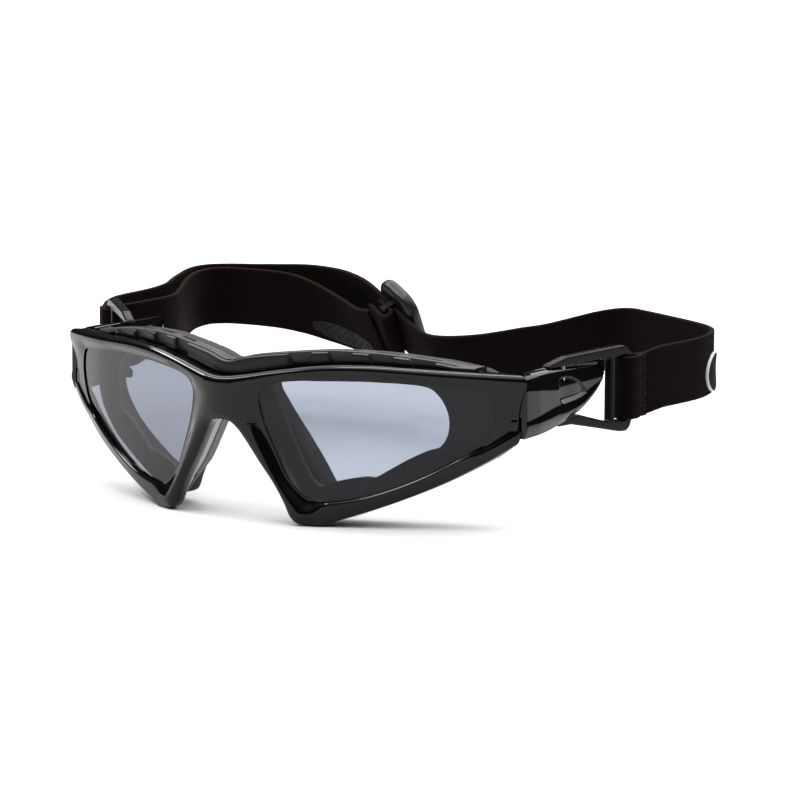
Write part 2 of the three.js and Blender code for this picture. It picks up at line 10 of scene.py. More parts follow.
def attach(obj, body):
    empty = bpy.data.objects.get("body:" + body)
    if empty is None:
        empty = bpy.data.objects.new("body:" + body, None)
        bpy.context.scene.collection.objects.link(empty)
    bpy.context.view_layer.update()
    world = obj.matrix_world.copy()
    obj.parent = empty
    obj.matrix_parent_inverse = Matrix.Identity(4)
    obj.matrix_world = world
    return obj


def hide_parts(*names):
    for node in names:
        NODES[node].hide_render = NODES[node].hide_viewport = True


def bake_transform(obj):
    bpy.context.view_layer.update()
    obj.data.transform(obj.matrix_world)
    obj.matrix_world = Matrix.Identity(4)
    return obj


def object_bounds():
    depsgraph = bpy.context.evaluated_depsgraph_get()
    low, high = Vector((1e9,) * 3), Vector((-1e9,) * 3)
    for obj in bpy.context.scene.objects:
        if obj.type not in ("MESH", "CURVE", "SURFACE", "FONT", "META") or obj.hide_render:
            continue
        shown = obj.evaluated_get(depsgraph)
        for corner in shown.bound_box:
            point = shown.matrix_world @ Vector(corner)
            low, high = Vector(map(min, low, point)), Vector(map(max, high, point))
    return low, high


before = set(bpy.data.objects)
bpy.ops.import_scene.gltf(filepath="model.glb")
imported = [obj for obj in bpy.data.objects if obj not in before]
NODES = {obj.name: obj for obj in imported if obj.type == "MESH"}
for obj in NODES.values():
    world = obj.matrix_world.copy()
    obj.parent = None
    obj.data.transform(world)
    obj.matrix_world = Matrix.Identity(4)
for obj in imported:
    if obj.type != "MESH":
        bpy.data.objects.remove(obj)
CAD_BOX = [list(v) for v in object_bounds()]
MM = 0.001

# ------------------------------------------------------------------ dimensions, in mm, as in the CAD source
SEAM_Y = 33.4
HINGE = (68.2, 35.4)
PIVOT = (69.3, 54.5)
TURN_LEFT, TURN_RIGHT = 7.0, 46.0
STRAP_W, STRAP_T = 16.5, 1.3


def S(x, z):
    """The front surface: y as a function of x and z."""
    x, z = np.asarray(x, float), np.asarray(z, float)
    a = np.abs(x)
    h = np.where(a > 5, a, a * a / 10 + 2.5)
    return (1.459e-3 * x * x + 0.3402 * h - 2.8434e-3 * ((z + 16.8) ** 2 - 282.24) + 0.0603 * z
            + 5.0726e-3 * np.maximum(0, a - 52.5) ** 2)


LENS_OPENING = [[11.6, 8.6], [14.7, 10.1], [26.5, 11.3], [36.1, 11.5], [45.6, 11.3], [52.4, 10.4], [59.3, 9.9],
                [63.4, 9.2], [65.0, 5.7], [65.0, 2], [62.5, -3.8], [54.6, -9.6], [45.4, -14.6], [36, -18.2], [29, -19.6],
                [25, -20], [22.6, -19.4], [17.9, -15.3], [14.3, -7.6], [11.3, 0.1], [10.3, 6.4]]
FRAME_TOP = [[0, 11.2], [3, 11.4], [6.8, 12], [16.8, 13.8], [26.7, 15.1], [36.3, 15.4], [45.7, 15], [55, 14.5], [64, 14.0], [74, 13.4], [84, 12.8]]
FRAME_BOTTOM = [[84, 3.6], [78, 0.6], [71.6, -2.6], [63.4, -8.4], [54.6, -13.8], [45.5, -18.3], [36.2, -22.2], [29, -24.8], [25.4, -26.1],
                [20.9, -26.1], [19.2, -25.6], [17.8, -24.1], [16.1, -20.6], [13.5, -16], [9.8, -10.5], [6.3, -4.9], [4.2, -1.8], [2.7, -0.5], [0, 0]]
WINDOW = [[11.2, 8.6], [14.3, -1.9], [18.9, -12.7], [21.4, -16.2], [22.9, -16.7], [24.9, -15.8], [29.2, -14.6], [33.6, -13.9],
          [35.2, -14], [38.8, -11.8], [43.5, -8.8], [48.2, -6.4], [50, -5.9], [51.9, -3], [52.4, 1.2], [51.6, 4.8], [49.8, 7.9],
          [47.9, 9.4], [36.6, 10.4], [22.1, 10.2], [14, 9.8]]
GASKET = [[0, 15.0], [6.4, 16.4], [19, 17.9], [26.4, 18.4], [36, 18.1], [45.4, 17.1], [54.7, 15.5], [60, 13.6], [62.5, 10.5],
          [63.5, 5], [62.4, -3.5], [54, -11.6], [45, -16.3], [36, -20.2], [28.6, -22.8], [23, -24.0], [20.6, -23.2], [18.8, -19.6],
          [16.0, -14.4], [12.4, -8.8], [9.2, -3.6], [6.8, 0.6], [4.2, 3.4], [0, 4.4]]
FOAM_INNER = [[8.6, 8.4], [10.5, 12.2], [19, 13.3], [26.4, 13.8], [36, 13.5], [45.4, 12.6], [52.5, 11.2], [57.4, 8.6], [58.6, 3.5], [57.4, -2.4],
              [50.5, -8.6], [43.5, -12.3], [35, -16], [28, -18.4], [24.2, -19.2], [22.3, -16.8], [19.2, -11.2], [15.2, -4.4], [11.5, 1.8]]
BROW_TOP = [[0, 15.0], [6.4, 16.4], [19, 17.9], [26.4, 18.4], [36, 18.1], [45.4, 17.1], [54.7, 15.5], [59.4, 13.8]]
NOSE_LEAF = [[5.2, 0.6], [7.6, -2.6], [10.7, -7.6], [14.2, -13.0], [17.1, -18.2], [18.9, -22.6], [17.7, -21.6], [15.4, -17.3], [12.6, -12.9], [9.2, -7.6], [6.2, -2.9], [4.0, 0.2]]
ARM_SIDE = [[33.7, 13.4], [44, 13.55], [60, 13.1], [71.8, 12.6], [72.5, 11.6], [72.4, 8.4], [66.7, 3.9], [61.5, 1.4], [58.2, 0.9],
            [51.3, 0.9], [50.6, 0.2], [50.3, -1.1], [43.1, -2.1], [33.7, -2.6]]
LOOP_OUT = [[-6.6, 13.9], [-6.0, 14.5], [0.7, 15.9], [12.1, 16.2], [23.7, 16.4], [26.2, 15.4], [27.6, 13.6], [27.5, -3.6], [26.6, -5.4], [25.2, -6.2],
            [22.8, -6.1], [12.5, -3.9], [3.0, -1.9], [-2.6, -1.9], [-2.6, 0.5], [5.4, 0.5], [17.9, -2.9], [18.6, -2.6], [18.6, 13.6], [-6.4, 13.5]]
LOOP_SLOT = [[20.4, -3.0], [25.1, -3.0], [25.1, 13.5], [20.4, 13.5]]
MAIN = [[73.4, 87.6, 13.6, 0], [74.3, 94, 14.4, 0], [74.8, 101, 14.5, 0], [75, 107, 14.5, 0], [74.9, 113, 14.5, 0], [73.8, 119, 14.5, 0],
        [71.9, 124.5, 14.5, 0], [68.9, 130, 14.5, 0], [65, 134, 14.5, 0], [59.4, 137.5, 14.5, 0], [52, 141.3, 14.5, 0], [44.6, 144.8, 14.5, 0],
        [38, 147.8, 14.5, 0], [31.6, 150.1, 14.5, 0], [27.2, 150.2, 14.1, 0], [21.4, 148.2, 12.9, 0], [13.2, 144.6, 10.4, 0], [8, 142.6, 8.9, 2], [1.6, 140.9, 7.6, 4],
        [-5.9, 139.8, 5.9, 8], [-10.7, 139.1, 4.9, 12], [-16.7, 138.5, 4.0, 18], [-22.9, 138.4, 3.4, 24], [-27.7, 138.9, 3.3, 28], [-31.8, 140.0, 4.1, 30],
        [-38, 142.2, 6.9, 30], [-44, 144.4, 9.8, 30], [-50.2, 146.7, 12.9, 30], [-55.7, 148.9, 15.0, 28], [-62, 151.8, 16.2, 22], [-69.1, 154.8, 16.8, 14],
        [-81.7, 158, 16.8, 5], [-94.3, 158.8, 15.9, 0], [-102, 158.2, 15.4, 0], [-108.5, 156.2, 15.2, 0], [-112.6, 151.8, 15.2, 0], [-113.4, 146, 15.2, 0],
        [-111.8, 139, 15.1, 0], [-108.8, 132, 15, 0], [-105.8, 125, 14.9, 0], [-101.3, 115.5, 14.6, 0], [-98.8, 106, 14.5, 0], [-97.8, 98, 14.5, 0],
        [-97.2, 90, 14.5, 0], [-96.4, 84.5, 14.4, 0], [-95.0, 79.6, 14.0, 0], [-92.6, 75.0, 13.4, 0]]
INNER = [[-36.5, 136.9, 2.8, 30], [-44, 139.6, 6.4, 30], [-50.2, 141.9, 9.5, 30], [-55.7, 144.2, 12.2, 28], [-62, 147.2, 14.4, 22], [-70, 150.4, 15.6, 14],
         [-79, 152.2, 16, 5], [-86, 152.2, 15.6, 0], [-93, 151.0, 15.2, 0], [-99, 150.6, 15.2, 0], [-104.5, 149.2, 15.2, 0], [-107.6, 145.4, 15.2, 0],
         [-107.2, 138.6, 15.1, 0], [-103.6, 129.5, 15, 0], [-97.2, 118, 14.8, 0], [-90.6, 107, 14.6, 0], [-86.2, 98.5, 14.5, 0], [-84.8, 92, 14.5, 0],
         [-85.8, 86, 14.2, 0], [-87.7, 81.4, 13.8, 0], [-90.0, 78.2, 13.4, 0]]


# ------------------------------------------------------------------ small maths
def smooth(a, b, x):
    t = np.clip((np.asarray(x, float) - a) / (b - a), 0, 1)
    return t * t * (3 - 2 * t)


def spline(points, step=0.7, closed=False, sharp=()):
    """Centripetal Catmull-Rom through 2-D points, resampled about every `step` mm; the indices in `sharp` stay corners."""
    P = [np.array(p, float) for p in points]
    n = len(P)
    out = []
    for i in range(n if closed else n - 1):
        p1, p2 = P[i], P[(i + 1) % n]
        p0 = P[(i - 1) % n] if (closed or i > 0) else 2 * p1 - p2
        p3 = P[(i + 2) % n] if (closed or i + 2 < n) else 2 * p2 - p1
        if i in sharp:
            p0 = 2 * p1 - p2
        if (i + 1) % n in sharp:
            p3 = 2 * p2 - p1
        d0, d1, d2 = (max(np.linalg.norm(b - a), 1e-6) ** 0.5 for a, b in ((p0, p1), (p1, p2), (p2, p3)))
        m1 = ((p1 - p0) / d0 - (p2 - p0) / (d0 + d1) + (p2 - p1) / d1) * d1
        m2 = ((p2 - p1) / d1 - (p3 - p1) / (d1 + d2) + (p3 - p2) / d2) * d1
        k = max(2, int(round(np.linalg.norm(p2 - p1) / step)))
        for j in range(k):
            t = j / k
            out.append((2 * t**3 - 3 * t * t + 1) * p1 + (t**3 - 2 * t * t + t) * m1 + (-2 * t**3 + 3 * t * t) * p2 + (t**3 - t * t) * m2)
    if not closed:
        out.append(P[-1])
    return np.array(out)


def rounded(points, r, seg=5, closed=True):
    """Rounds the corners of a polygon. r is one radius or one per corner."""
    P = [np.array(p, float) for p in points]
    n, out = len(P), []
    for i, p in enumerate(P):
        ri = r[i] if hasattr(r, "__len__") else r
        a, b = P[(i - 1) % n] - p, P[(i + 1) % n] - p
        la, lb = np.linalg.norm(a), np.linalg.norm(b)
        a, b = a / la, b / lb
        cosang = float(np.clip(a @ b, -0.9999, 0.9999))
        half = math.acos(cosang) / 2
        t = min(ri / max(math.tan(half), 1e-4), 0.46 * la, 0.46 * lb)
        if ri <= 0 or math.pi - 2 * half < 0.06:
            out.append(p)
            continue
        for j in range(seg + 1):
            q = j / seg
            out.append((1 - q) ** 2 * (p + a * t) + 2 * q * (1 - q) * p + q * q * (p + b * t))
    return np.array(out)


def dist_to(points, line, closed=False):
    """Distance from each point to a polyline."""
    A = np.asarray(line, float)
    B = np.roll(A, -1, 0) if closed else A[1:]
    A = A if closed else A[:-1]
    P = np.asarray(points, float)
    best = np.full(len(P), 1e9)
    d = B - A
    L = np.maximum((d * d).sum(1), 1e-12)
    for i in range(len(A)):
        t = np.clip(((P - A[i]) @ d[i]) / L[i], 0, 1)
        best = np.minimum(best, np.linalg.norm(P - A[i] - t[:, None] * d[i], axis=1))
    return best


def ray_hits(poly, centre, angles):
    """Distance from centre to a star-shaped closed polyline at each angle."""
    A = np.asarray(poly, float) - centre
    B = np.roll(A, -1, 0)
    out = []
    for th in angles:
        d = np.array([math.cos(th), math.sin(th)])
        ca, cb = A[:, 0] * d[1] - A[:, 1] * d[0], B[:, 0] * d[1] - B[:, 1] * d[0]
        hit = (ca * cb <= 0) & (np.abs(ca - cb) > 1e-12)
        t = np.where(hit, ca / np.where(hit, ca - cb, 1), 0)
        r = (A[:, 0] + t * (B[:, 0] - A[:, 0])) * d[0] + (A[:, 1] + t * (B[:, 1] - A[:, 1])) * d[1]
        r = np.where(hit & (r > 0), r, -1)
        out.append(r.max())
    return np.array(out)


# ------------------------------------------------------------------ mesh helpers
def put(name, verts, faces, mat, sharp=38, uvs=None, attr=None):
    """A mesh object from mm coordinates."""
    me = bpy.data.meshes.new(name)
    me.from_pydata([tuple(float(c) * MM for c in v) for v in verts], [], [tuple(int(i) for i in f) for f in faces])
    me.validate()
    me.update()
    if uvs is not None:
        layer = me.uv_layers.new(name="UVMap")
        flat = []
        for p in me.polygons:
            us = [uvs[v] for v in p.vertices]
            flat.extend(us)
        layer.data.foreach_set("uv", np.array(flat, np.float32).ravel())
    o = bpy.data.objects.new(name, me)
    bpy.context.scene.collection.objects.link(o)
    me.materials.append(mat)
    finish_mesh(o, sharp)
    return o


def finish_mesh(o, sharp=38, weld=0.0):
    bm = bmesh.new()
    bm.from_mesh(o.data)
    if weld:
        bmesh.ops.remove_doubles(bm, verts=bm.verts, dist=weld * MM)
    bmesh.ops.recalc_face_normals(bm, faces=bm.faces)
    bm.to_mesh(o.data)
    bm.free()
    o.data.polygons.foreach_set("use_smooth", [True] * len(o.data.polygons))
    o.data.set_sharp_from_angle(angle=math.radians(sharp))
    o.data.update()


def weighted(o):
    """Face-weighted normals, so that flat faces stay flat beside small rounded edges."""
    m = o.modifiers.new("wn", "WEIGHTED_NORMAL")
    m.keep_sharp = True
    m.weight = 80
    apply_modifiers(o)


def apply_modifiers(o):
    bpy.context.view_layer.update()
    dg = bpy.context.evaluated_depsgraph_get()
    me = bpy.data.meshes.new_from_object(o.evaluated_get(dg), preserve_all_data_layers=True, depsgraph=dg)
    old = o.data
    o.modifiers.clear()
    o.data = me
    me.name = o.name
    bpy.data.meshes.remove(old)


def cut(o, cutter, op="DIFFERENCE"):
    big, small = Matrix.Scale(1000, 4), Matrix.Scale(0.001, 4)
    o.data.transform(big)
    cutter.data.transform(big)
    m = o.modifiers.new("cut", "BOOLEAN")
    m.operation = op
    m.solver = "EXACT"
    m.object = cutter
    apply_modifiers(o)
    o.data.transform(small)
    bpy.data.objects.remove(cutter)


def within(loops, x, y):
    """Even-odd test of one point against several closed outlines."""
    odd = False
    for a in loops:
        b = np.roll(a, -1, axis=0)
        hit = ((a[:, 1] > y) != (b[:, 1] > y)) & (x < (b[:, 0] - a[:, 0]) * (y - a[:, 1]) / (b[:, 1] - a[:, 1] + 1e-12) + a[:, 0])
        odd ^= bool(hit.sum() % 2)
    return odd


def tidy(points):
    pts = [np.array(p, float) for p in points]
    out = []
    for p in pts:
        if not out or np.linalg.norm(p - out[-1]) > 0.02:
            out.append(p)
    while np.linalg.norm(out[0] - out[-1]) <= 0.02:
        out.pop()
    return np.array(out)


def plate(name, outline, holes, thick, bevel, place, mat, seg=3, slices=(), sharp=38):
    """A flat plate with rounded edges from a 2-D outline with holes; place(a, b, n) gives the point in mm. n runs from -thick/2 to thick/2."""
    loops = [tidy(q) for q in [outline, *holes]]
    for k, q in enumerate(loops):
        area = np.sum(q[:, 0] * np.roll(q[:, 1], -1) - np.roll(q[:, 0], -1) * q[:, 1])
        if (area < 0) == (k == 0):
            loops[k] = q[::-1]
    V, F, tops, lows = [], [], [], []
    for q in loops:
        t = np.roll(q, -1, axis=0) - np.roll(q, 1, axis=0)
        t /= np.linalg.norm(t, axis=1)[:, None]
        inward = np.stack([-t[:, 1], t[:, 0]], 1)
        reach = np.zeros(len(q))
        for k in range(len(q)):
            for f in (1.0, 0.85, 0.7, 0.55, 0.4, 0.28, 0.16, 0.08):
                c = (q[k] + inward[k] * bevel * f)[None]
                if min(float(dist_to(c, w, closed=True)[0]) for w in loops) >= 0.9 * f * bevel:
                    reach[k] = f * bevel
                    break
            else:
                reach[k] = 0.04 * bevel
        prof = [(math.pi / 2 * j / seg) for j in range(seg + 1)]
        rows = [(1 - math.cos(a), thick / 2 - bevel + bevel * math.sin(a)) for a in prof]
        rows = [(r, -z) for r, z in rows[::-1]] + rows
        start, m = len(V), len(q)
        for r, z in rows:
            for k in range(m):
                c = q[k] + inward[k] * reach[k] * r
                V.append((c[0], c[1], z))
        for a in range(len(rows) - 1):
            for k in range(m):
                F.append((start + a * m + k, start + a * m + (k + 1) % m, start + (a + 1) * m + (k + 1) % m, start + (a + 1) * m + k))
        lows.append(list(range(start, start + m)))
        tops.append(list(range(start + (len(rows) - 1) * m, start + len(rows) * m)))
    flat = [np.array([V[i][:2] for i in ring]) for ring in tops]
    co = [Vector((float(p[0]), float(p[1]))) for ring in flat for p in ring]
    edges, base = [], 0
    for ring in flat:
        edges += [(base + k, base + (k + 1) % len(ring)) for k in range(len(ring))]
        base += len(ring)
    ov, oe, of, orig, _, _ = delaunay_2d_cdt(co, edges, [], 0, 1e-6)
    up, down = [i for ring in tops for i in ring], [i for ring in lows for i in ring]
    for f in of:
        c = sum((ov[i] for i in f), Vector((0, 0))) / len(f)
        if within(flat, c.x, c.y):
            ids = [orig[i][0] if orig[i] else min(range(len(co)), key=lambda q: (co[q] - ov[i]).length) for i in f]
            if len(set(ids)) == len(ids):
                F.append(tuple(up[i] for i in ids))
                F.append(tuple(down[i] for i in ids[::-1]))
    me = bpy.data.meshes.new(name)
    me.from_pydata(V, [], F)
    me.validate()
    bm = bmesh.new()
    bm.from_mesh(me)
    for co3, no in slices:
        bmesh.ops.bisect_plane(bm, geom=bm.verts[:] + bm.edges[:] + bm.faces[:], plane_co=list(co3), plane_no=no)
    for v in bm.verts:
        v.co = Vector(place(v.co.x, v.co.y, v.co.z)) * MM
    bmesh.ops.recalc_face_normals(bm, faces=bm.faces)
    bm.to_mesh(me)
    bm.free()
    o = bpy.data.objects.new(name, me)
    bpy.context.scene.collection.objects.link(o)
    me.materials.append(mat)
    me.polygons.foreach_set("use_smooth", [True] * len(me.polygons))
    me.set_sharp_from_angle(angle=math.radians(sharp))
    me.update()
    return o


def join(objs, name):
    """Joins mesh objects into one, keeping the first one's materials."""
    bm = bmesh.new()
    for o in objs:
        bm.from_mesh(o.data)
    me = bpy.data.meshes.new(name)
    bm.to_mesh(me)
    bm.free()
    for m in objs[0].data.materials:
        me.materials.append(m)
    for o in objs:
        bpy.data.objects.remove(o)
    o = bpy.data.objects.new(name, me)
    bpy.context.scene.collection.objects.link(o)
    return o


def lathe(name, rings, x, y, mat, n=32, slot=None, sharp=35):
    """A turned part about a vertical axis from (r, z) rings; slot=(width, depth) cuts a screwdriver slot in the top."""
    verts, faces = [], []
    for r, z in rings:
        for k in range(n):
            a = 2 * math.pi * k / n
            verts.append((x + r * math.cos(a), y + r * math.sin(a), z))
    for i in range(len(rings) - 1):
        for k in range(n):
            faces.append((i * n + k, i * n + (k + 1) % n, (i + 1) * n + (k + 1) % n, (i + 1) * n + k))
    faces.append(tuple(range(n))[::-1])
    faces.append(tuple((len(rings) - 1) * n + k for k in range(n)))
    o = put(name, verts, faces, mat, sharp)
    if slot:
        top = max(z for _, z in rings)
        w, d = slot
        box = [(x + sx * 3, y + sy * w / 2, top + sz) for sx in (-1, 1) for sy in (-1, 1) for sz in (-d, 1)]
        c = put(name + "_slot", box, [(0, 1, 3, 2), (4, 6, 7, 5), (0, 4, 5, 1), (2, 3, 7, 6), (0, 2, 6, 4), (1, 5, 7, 3)], mat)
        cut(o, c)
        finish_mesh(o, sharp)
    return o


# ------------------------------------------------------------------ materials
class Mat:
    """A node material built from a few procedural layers."""

    def __init__(self, name):
        self.m = bpy.data.materials.new(name)
        self.m.use_nodes = True
        self.t = self.m.node_tree
        self.b = self.t.nodes["Principled BSDF"]
        self.out = self.t.nodes["Material Output"]

    def node(self, kind, **props):
        n = self.t.nodes.new(kind)
        for k, v in props.items():
            setattr(n, k, v)
        return n

    def link(self, a, b):
        self.t.links.new(a, b)
        return a

    def coord(self):
        if not hasattr(self, "_co"):
            self._co = self.node("ShaderNodeTexCoord").outputs["Object"]
        return self._co

    def uv(self):
        if not hasattr(self, "_uv"):
            self._uv = self.node("ShaderNodeUVMap", uv_map="UVMap").outputs["UV"]
        return self._uv

    def noise(self, scale, detail=3, rough=0.5, stretch=None, src=None):
        n = self.node("ShaderNodeTexNoise")
        n.inputs["Scale"].default_value = scale
        n.inputs["Detail"].default_value = detail
        n.inputs["Roughness"].default_value = rough
        c = src or self.coord()
        if stretch:
            m = self.node("ShaderNodeMapping")
            m.inputs["Scale"].default_value = stretch
            self.link(c, m.inputs["Vector"])
            c = m.outputs["Vector"]
        self.link(c, n.inputs["Vector"])
        return n.outputs["Fac"]

    def voronoi(self, scale, feature="F1", rnd=1.0):
        n = self.node("ShaderNodeTexVoronoi", feature=feature)
        n.inputs["Scale"].default_value = scale
        n.inputs["Randomness"].default_value = rnd
        self.link(self.coord(), n.inputs["Vector"])
        return n.outputs["Distance"]

    def math(self, op, a, b=0.0, c=0.0, clamp=False):
        n = self.node("ShaderNodeMath", operation=op, use_clamp=clamp)
        for i, v in enumerate((a, b, c)):
            if isinstance(v, (int, float)):
                n.inputs[i].default_value = v
            else:
                self.link(v, n.inputs[i])
        return n.outputs[0]

    def ramp(self, fac, stops):
        n = self.node("ShaderNodeValToRGB")
        e = n.color_ramp.elements
        while len(e) < len(stops):
            e.new(0.5)
        for el, (p, c) in zip(e, stops):
            el.position = p
            el.color = (*c, 1) if len(c) == 3 else c
        self.link(fac, n.inputs[0])
        return n.outputs[0]

    def span(self, fac, lo, hi):
        n = self.node("ShaderNodeMapRange")
        n.inputs["To Min"].default_value = lo
        n.inputs["To Max"].default_value = hi
        self.link(fac, n.inputs["Value"])
        return n.outputs[0]

    def mix(self, fac, a, b):
        n = self.node("ShaderNodeMix", data_type="RGBA")
        for s, v in ((n.inputs[0], fac), (n.inputs[6], a), (n.inputs[7], b)):
            if hasattr(v, "links") or hasattr(v, "is_linked"):
                self.link(v, s)
            else:
                s.default_value = (*v, 1) if hasattr(v, "__len__") and len(v) == 3 else v
        return n.outputs[2]

    def bump(self, height, strength, dist_mm, normal=None):
        n = self.node("ShaderNodeBump")
        n.inputs["Strength"].default_value = strength
        n.inputs["Distance"].default_value = dist_mm * MM
        self.link(height, n.inputs["Height"])
        if normal is not None:
            self.link(normal, n.inputs["Normal"])
        return n.outputs["Normal"]

    def set(self, **kw):
        for k, v in kw.items():
            s = self.b.inputs[k.replace("_", " ")]
            if hasattr(v, "is_linked"):
                self.link(v, s)
            elif hasattr(v, "__len__") and len(v) == 3:
                s.default_value = (*v, 1)
            else:
                s.default_value = v
        return self

    def edge(self, dist_mm):
        """0 on flats, towards 1 on worn convex edges."""
        n = self.node("ShaderNodeNewGeometry")
        return self.span(n.outputs["Pointiness"], 0, 1)


def gloss_black(name, base=(0.0010, 0.0008, 0.0013)):
    m = Mat(name)
    broad = m.noise(60, 2)
    m.set(Base_Color=m.mix(broad, base, tuple(c * 1.8 for c in base)),
          Roughness=m.span(m.noise(900, 4, 0.6), 0.03, 0.085), Specular_IOR_Level=0.24)
    m.set(Normal=m.bump(m.noise(140, 2), 0.10, 0.12, m.bump(m.noise(2600, 2), 0.05, 0.01)))
    return m.m


def satin(name, base, rough=(0.32, 0.46), grain=3200, strength=0.16, spec=0.5):
    m = Mat(name)
    v = m.noise(220, 4, 0.6)
    m.set(Base_Color=m.mix(v, base, tuple(c * 1.5 for c in base)), Roughness=m.span(m.noise(700, 4), *rough), Specular_IOR_Level=spec)
    m.set(Normal=m.bump(m.noise(grain, 3, 0.7), strength, 0.03, m.bump(m.noise(150, 2), 0.12, 0.12)))
    return m.m


def foam_mat(name):
    m = Mat(name)
    cells = m.voronoi(2100)
    fine = m.voronoi(4300)
    h = m.math("ADD", m.math("MULTIPLY", cells, 0.7), m.math("MULTIPLY", fine, 0.4))
    # colour follows the cells that also shape the bump: painted shade, darkest in the cell pits
    col = m.ramp(cells, [(0.0, (0.005, 0.0046, 0.0052)), (0.35, (0.013, 0.0115, 0.0135)), (0.8, (0.020, 0.018, 0.0205))])
    m.set(Base_Color=m.mix(m.math("MULTIPLY", m.noise(180, 3), 0.6), col, (0.019, 0.017, 0.0195)), Roughness=m.span(cells, 0.82, 0.98), Specular_IOR_Level=0.25)
    m.set(Sheen_Weight=0.10, Sheen_Roughness=0.5, Sheen_Tint=(0.6, 0.56, 0.58))
    m.set(Normal=m.bump(h, 0.38, 0.16, m.bump(m.noise(420, 3), 0.3, 0.2)))
    return m.m


def webbing_mat(name):
    """Ribbed elastic: ribs along the length, fine weft across, lighter along both edges. UV is in cm along and across.
    """
    m = Mat(name)
    sep = m.node("ShaderNodeSeparateXYZ")
    m.link(m.uv(), sep.inputs[0])
    u, v = sep.outputs["X"], sep.outputs["Y"]
    tau = 2 * math.pi
    wob = m.math("MULTIPLY", m.math("SUBTRACT", m.noise(260, 2), 0.5), 0.9)
    rib = m.math("SINE", m.math("MULTIPLY", v, tau * 10 / 0.68))
    rib = m.math("ADD", m.math("MULTIPLY", rib, 0.5), 0.5)
    weft = m.math("SINE", m.math("ADD", m.math("MULTIPLY", u, tau * 10 / 0.78), wob))
    row = m.math("SINE", m.math("ADD", m.math("MULTIPLY", v, tau * 10 / 1.36), 0.0))
    weft = m.math("MULTIPLY", weft, m.math("ADD", m.math("MULTIPLY", m.math("SIGN", row), 0.8), 0.2))
    weft = m.math("ADD", m.math("MULTIPLY", weft, 0.5), 0.5)
    h = m.math("ADD", m.math("MULTIPLY", rib, 0.45), m.math("MULTIPLY", weft, 0.55))
    # colour follows the weave's height: painted shade in the grooves, lighter on the raised threads; the rib and weft
    # pattern itself is the strap's own
    dark, light = (0.0005, 0.0002, 0.00015), (0.0064, 0.0033, 0.0027)
    thread = m.mix(h, dark, light)
    worn = m.mix(m.math("MULTIPLY", m.noise(95, 4, 0.6), 0.55), thread, (0.0030, 0.0015, 0.0012))
    # a lighter band along both edges of the width
    e = m.math("ABSOLUTE", m.math("SUBTRACT", v, STRAP_W / 20))
    sel = m.node("ShaderNodeMapRange", interpolation_type="SMOOTHSTEP")
    sel.inputs["From Min"].default_value = STRAP_W / 20 - 0.075
    sel.inputs["From Max"].default_value = STRAP_W / 20 - 0.015
    m.link(e, sel.inputs["Value"])
    m.set(Base_Color=m.mix(sel.outputs[0], worn, (0.0085, 0.0048, 0.0042)), Roughness=m.span(h, 0.95, 0.8), Specular_IOR_Level=0.03)
    m.set(Sheen_Weight=0.008, Sheen_Roughness=0.4, Sheen_Tint=(0.5, 0.38, 0.34))
    fuzz = m.bump(m.noise(3800, 3, 0.7), 0.35, 0.05)
    m.set(Normal=m.bump(h, 0.8, 0.16, fuzz))
    return m.m


def steel(name):
    m = Mat(name)
    br = m.noise(900, 3, 0.6, stretch=(1, 1, 0.08))
    m.set(Base_Color=m.mix(br, (0.42, 0.42, 0.44), (0.66, 0.66, 0.68)), Roughness=m.span(br, 0.2, 0.38), Metallic=1.0)
    m.set(Normal=m.bump(br, 0.12, 0.02))
    return m.m


def lens_mat(name):
    """Smoke polycarbonate: tinted see-through with a hard coat's reflection, a little haze and a few fine specks."""
    m = Mat(name)
    t = m.t
    face = m.node("ShaderNodeLayerWeight")
    face.inputs["Blend"].default_value = 0.5
    slant = m.node("ShaderNodeMapRange", interpolation_type="SMOOTHSTEP")
    slant.inputs["From Min"].default_value = 0.12
    slant.inputs["From Max"].default_value = 0.6
    m.link(face.outputs["Facing"], slant.inputs["Value"])
    tint = m.mix(m.noise(35, 2), (0.574, 0.599, 0.657), (0.586, 0.612, 0.671))
    tint = m.mix(slant.outputs[0], tint, (0.43, 0.452, 0.498))
    clear = m.node("ShaderNodeBsdfTransparent")
    m.link(tint, clear.inputs["Color"])
    haze = m.math("ADD", m.math("MULTIPLY", m.math("GREATER_THAN", m.noise(1500, 1), 0.78), 0.02), 0.012)
    m.set(Base_Color=m.mix(m.noise(300, 2), (0.03, 0.03, 0.036), (0.05, 0.05, 0.058)), Roughness=0.3)
    body = m.node("ShaderNodeMixShader")
    m.link(haze, body.inputs[0])
    m.link(clear.outputs[0], body.inputs[1])
    m.link(m.b.outputs[0], body.inputs[2])
    gloss = m.node("ShaderNodeBsdfGlossy")
    gloss.inputs["Roughness"].default_value = 0.03
    m.link(m.bump(m.noise(25, 1), 0.02, 0.3), gloss.inputs["Normal"])
    lw = m.node("ShaderNodeLayerWeight")
    lw.inputs["Blend"].default_value = 0.5
    geo = m.node("ShaderNodeNewGeometry")
    schlick = m.math("ADD", m.math("MULTIPLY", m.math("POWER", lw.outputs["Facing"], 4.4), 0.85), 0.022)
    fres = m.math("MULTIPLY", schlick, m.math("SUBTRACT", 1.0, geo.outputs["Backfacing"]))
    top = m.node("ShaderNodeMixShader")
    m.link(fres, top.inputs[0])
    m.link(body.outputs[0], top.inputs[1])
    m.link(gloss.outputs[0], top.inputs[2])
    m.link(top.outputs[0], m.out.inputs["Surface"])
    return m.m


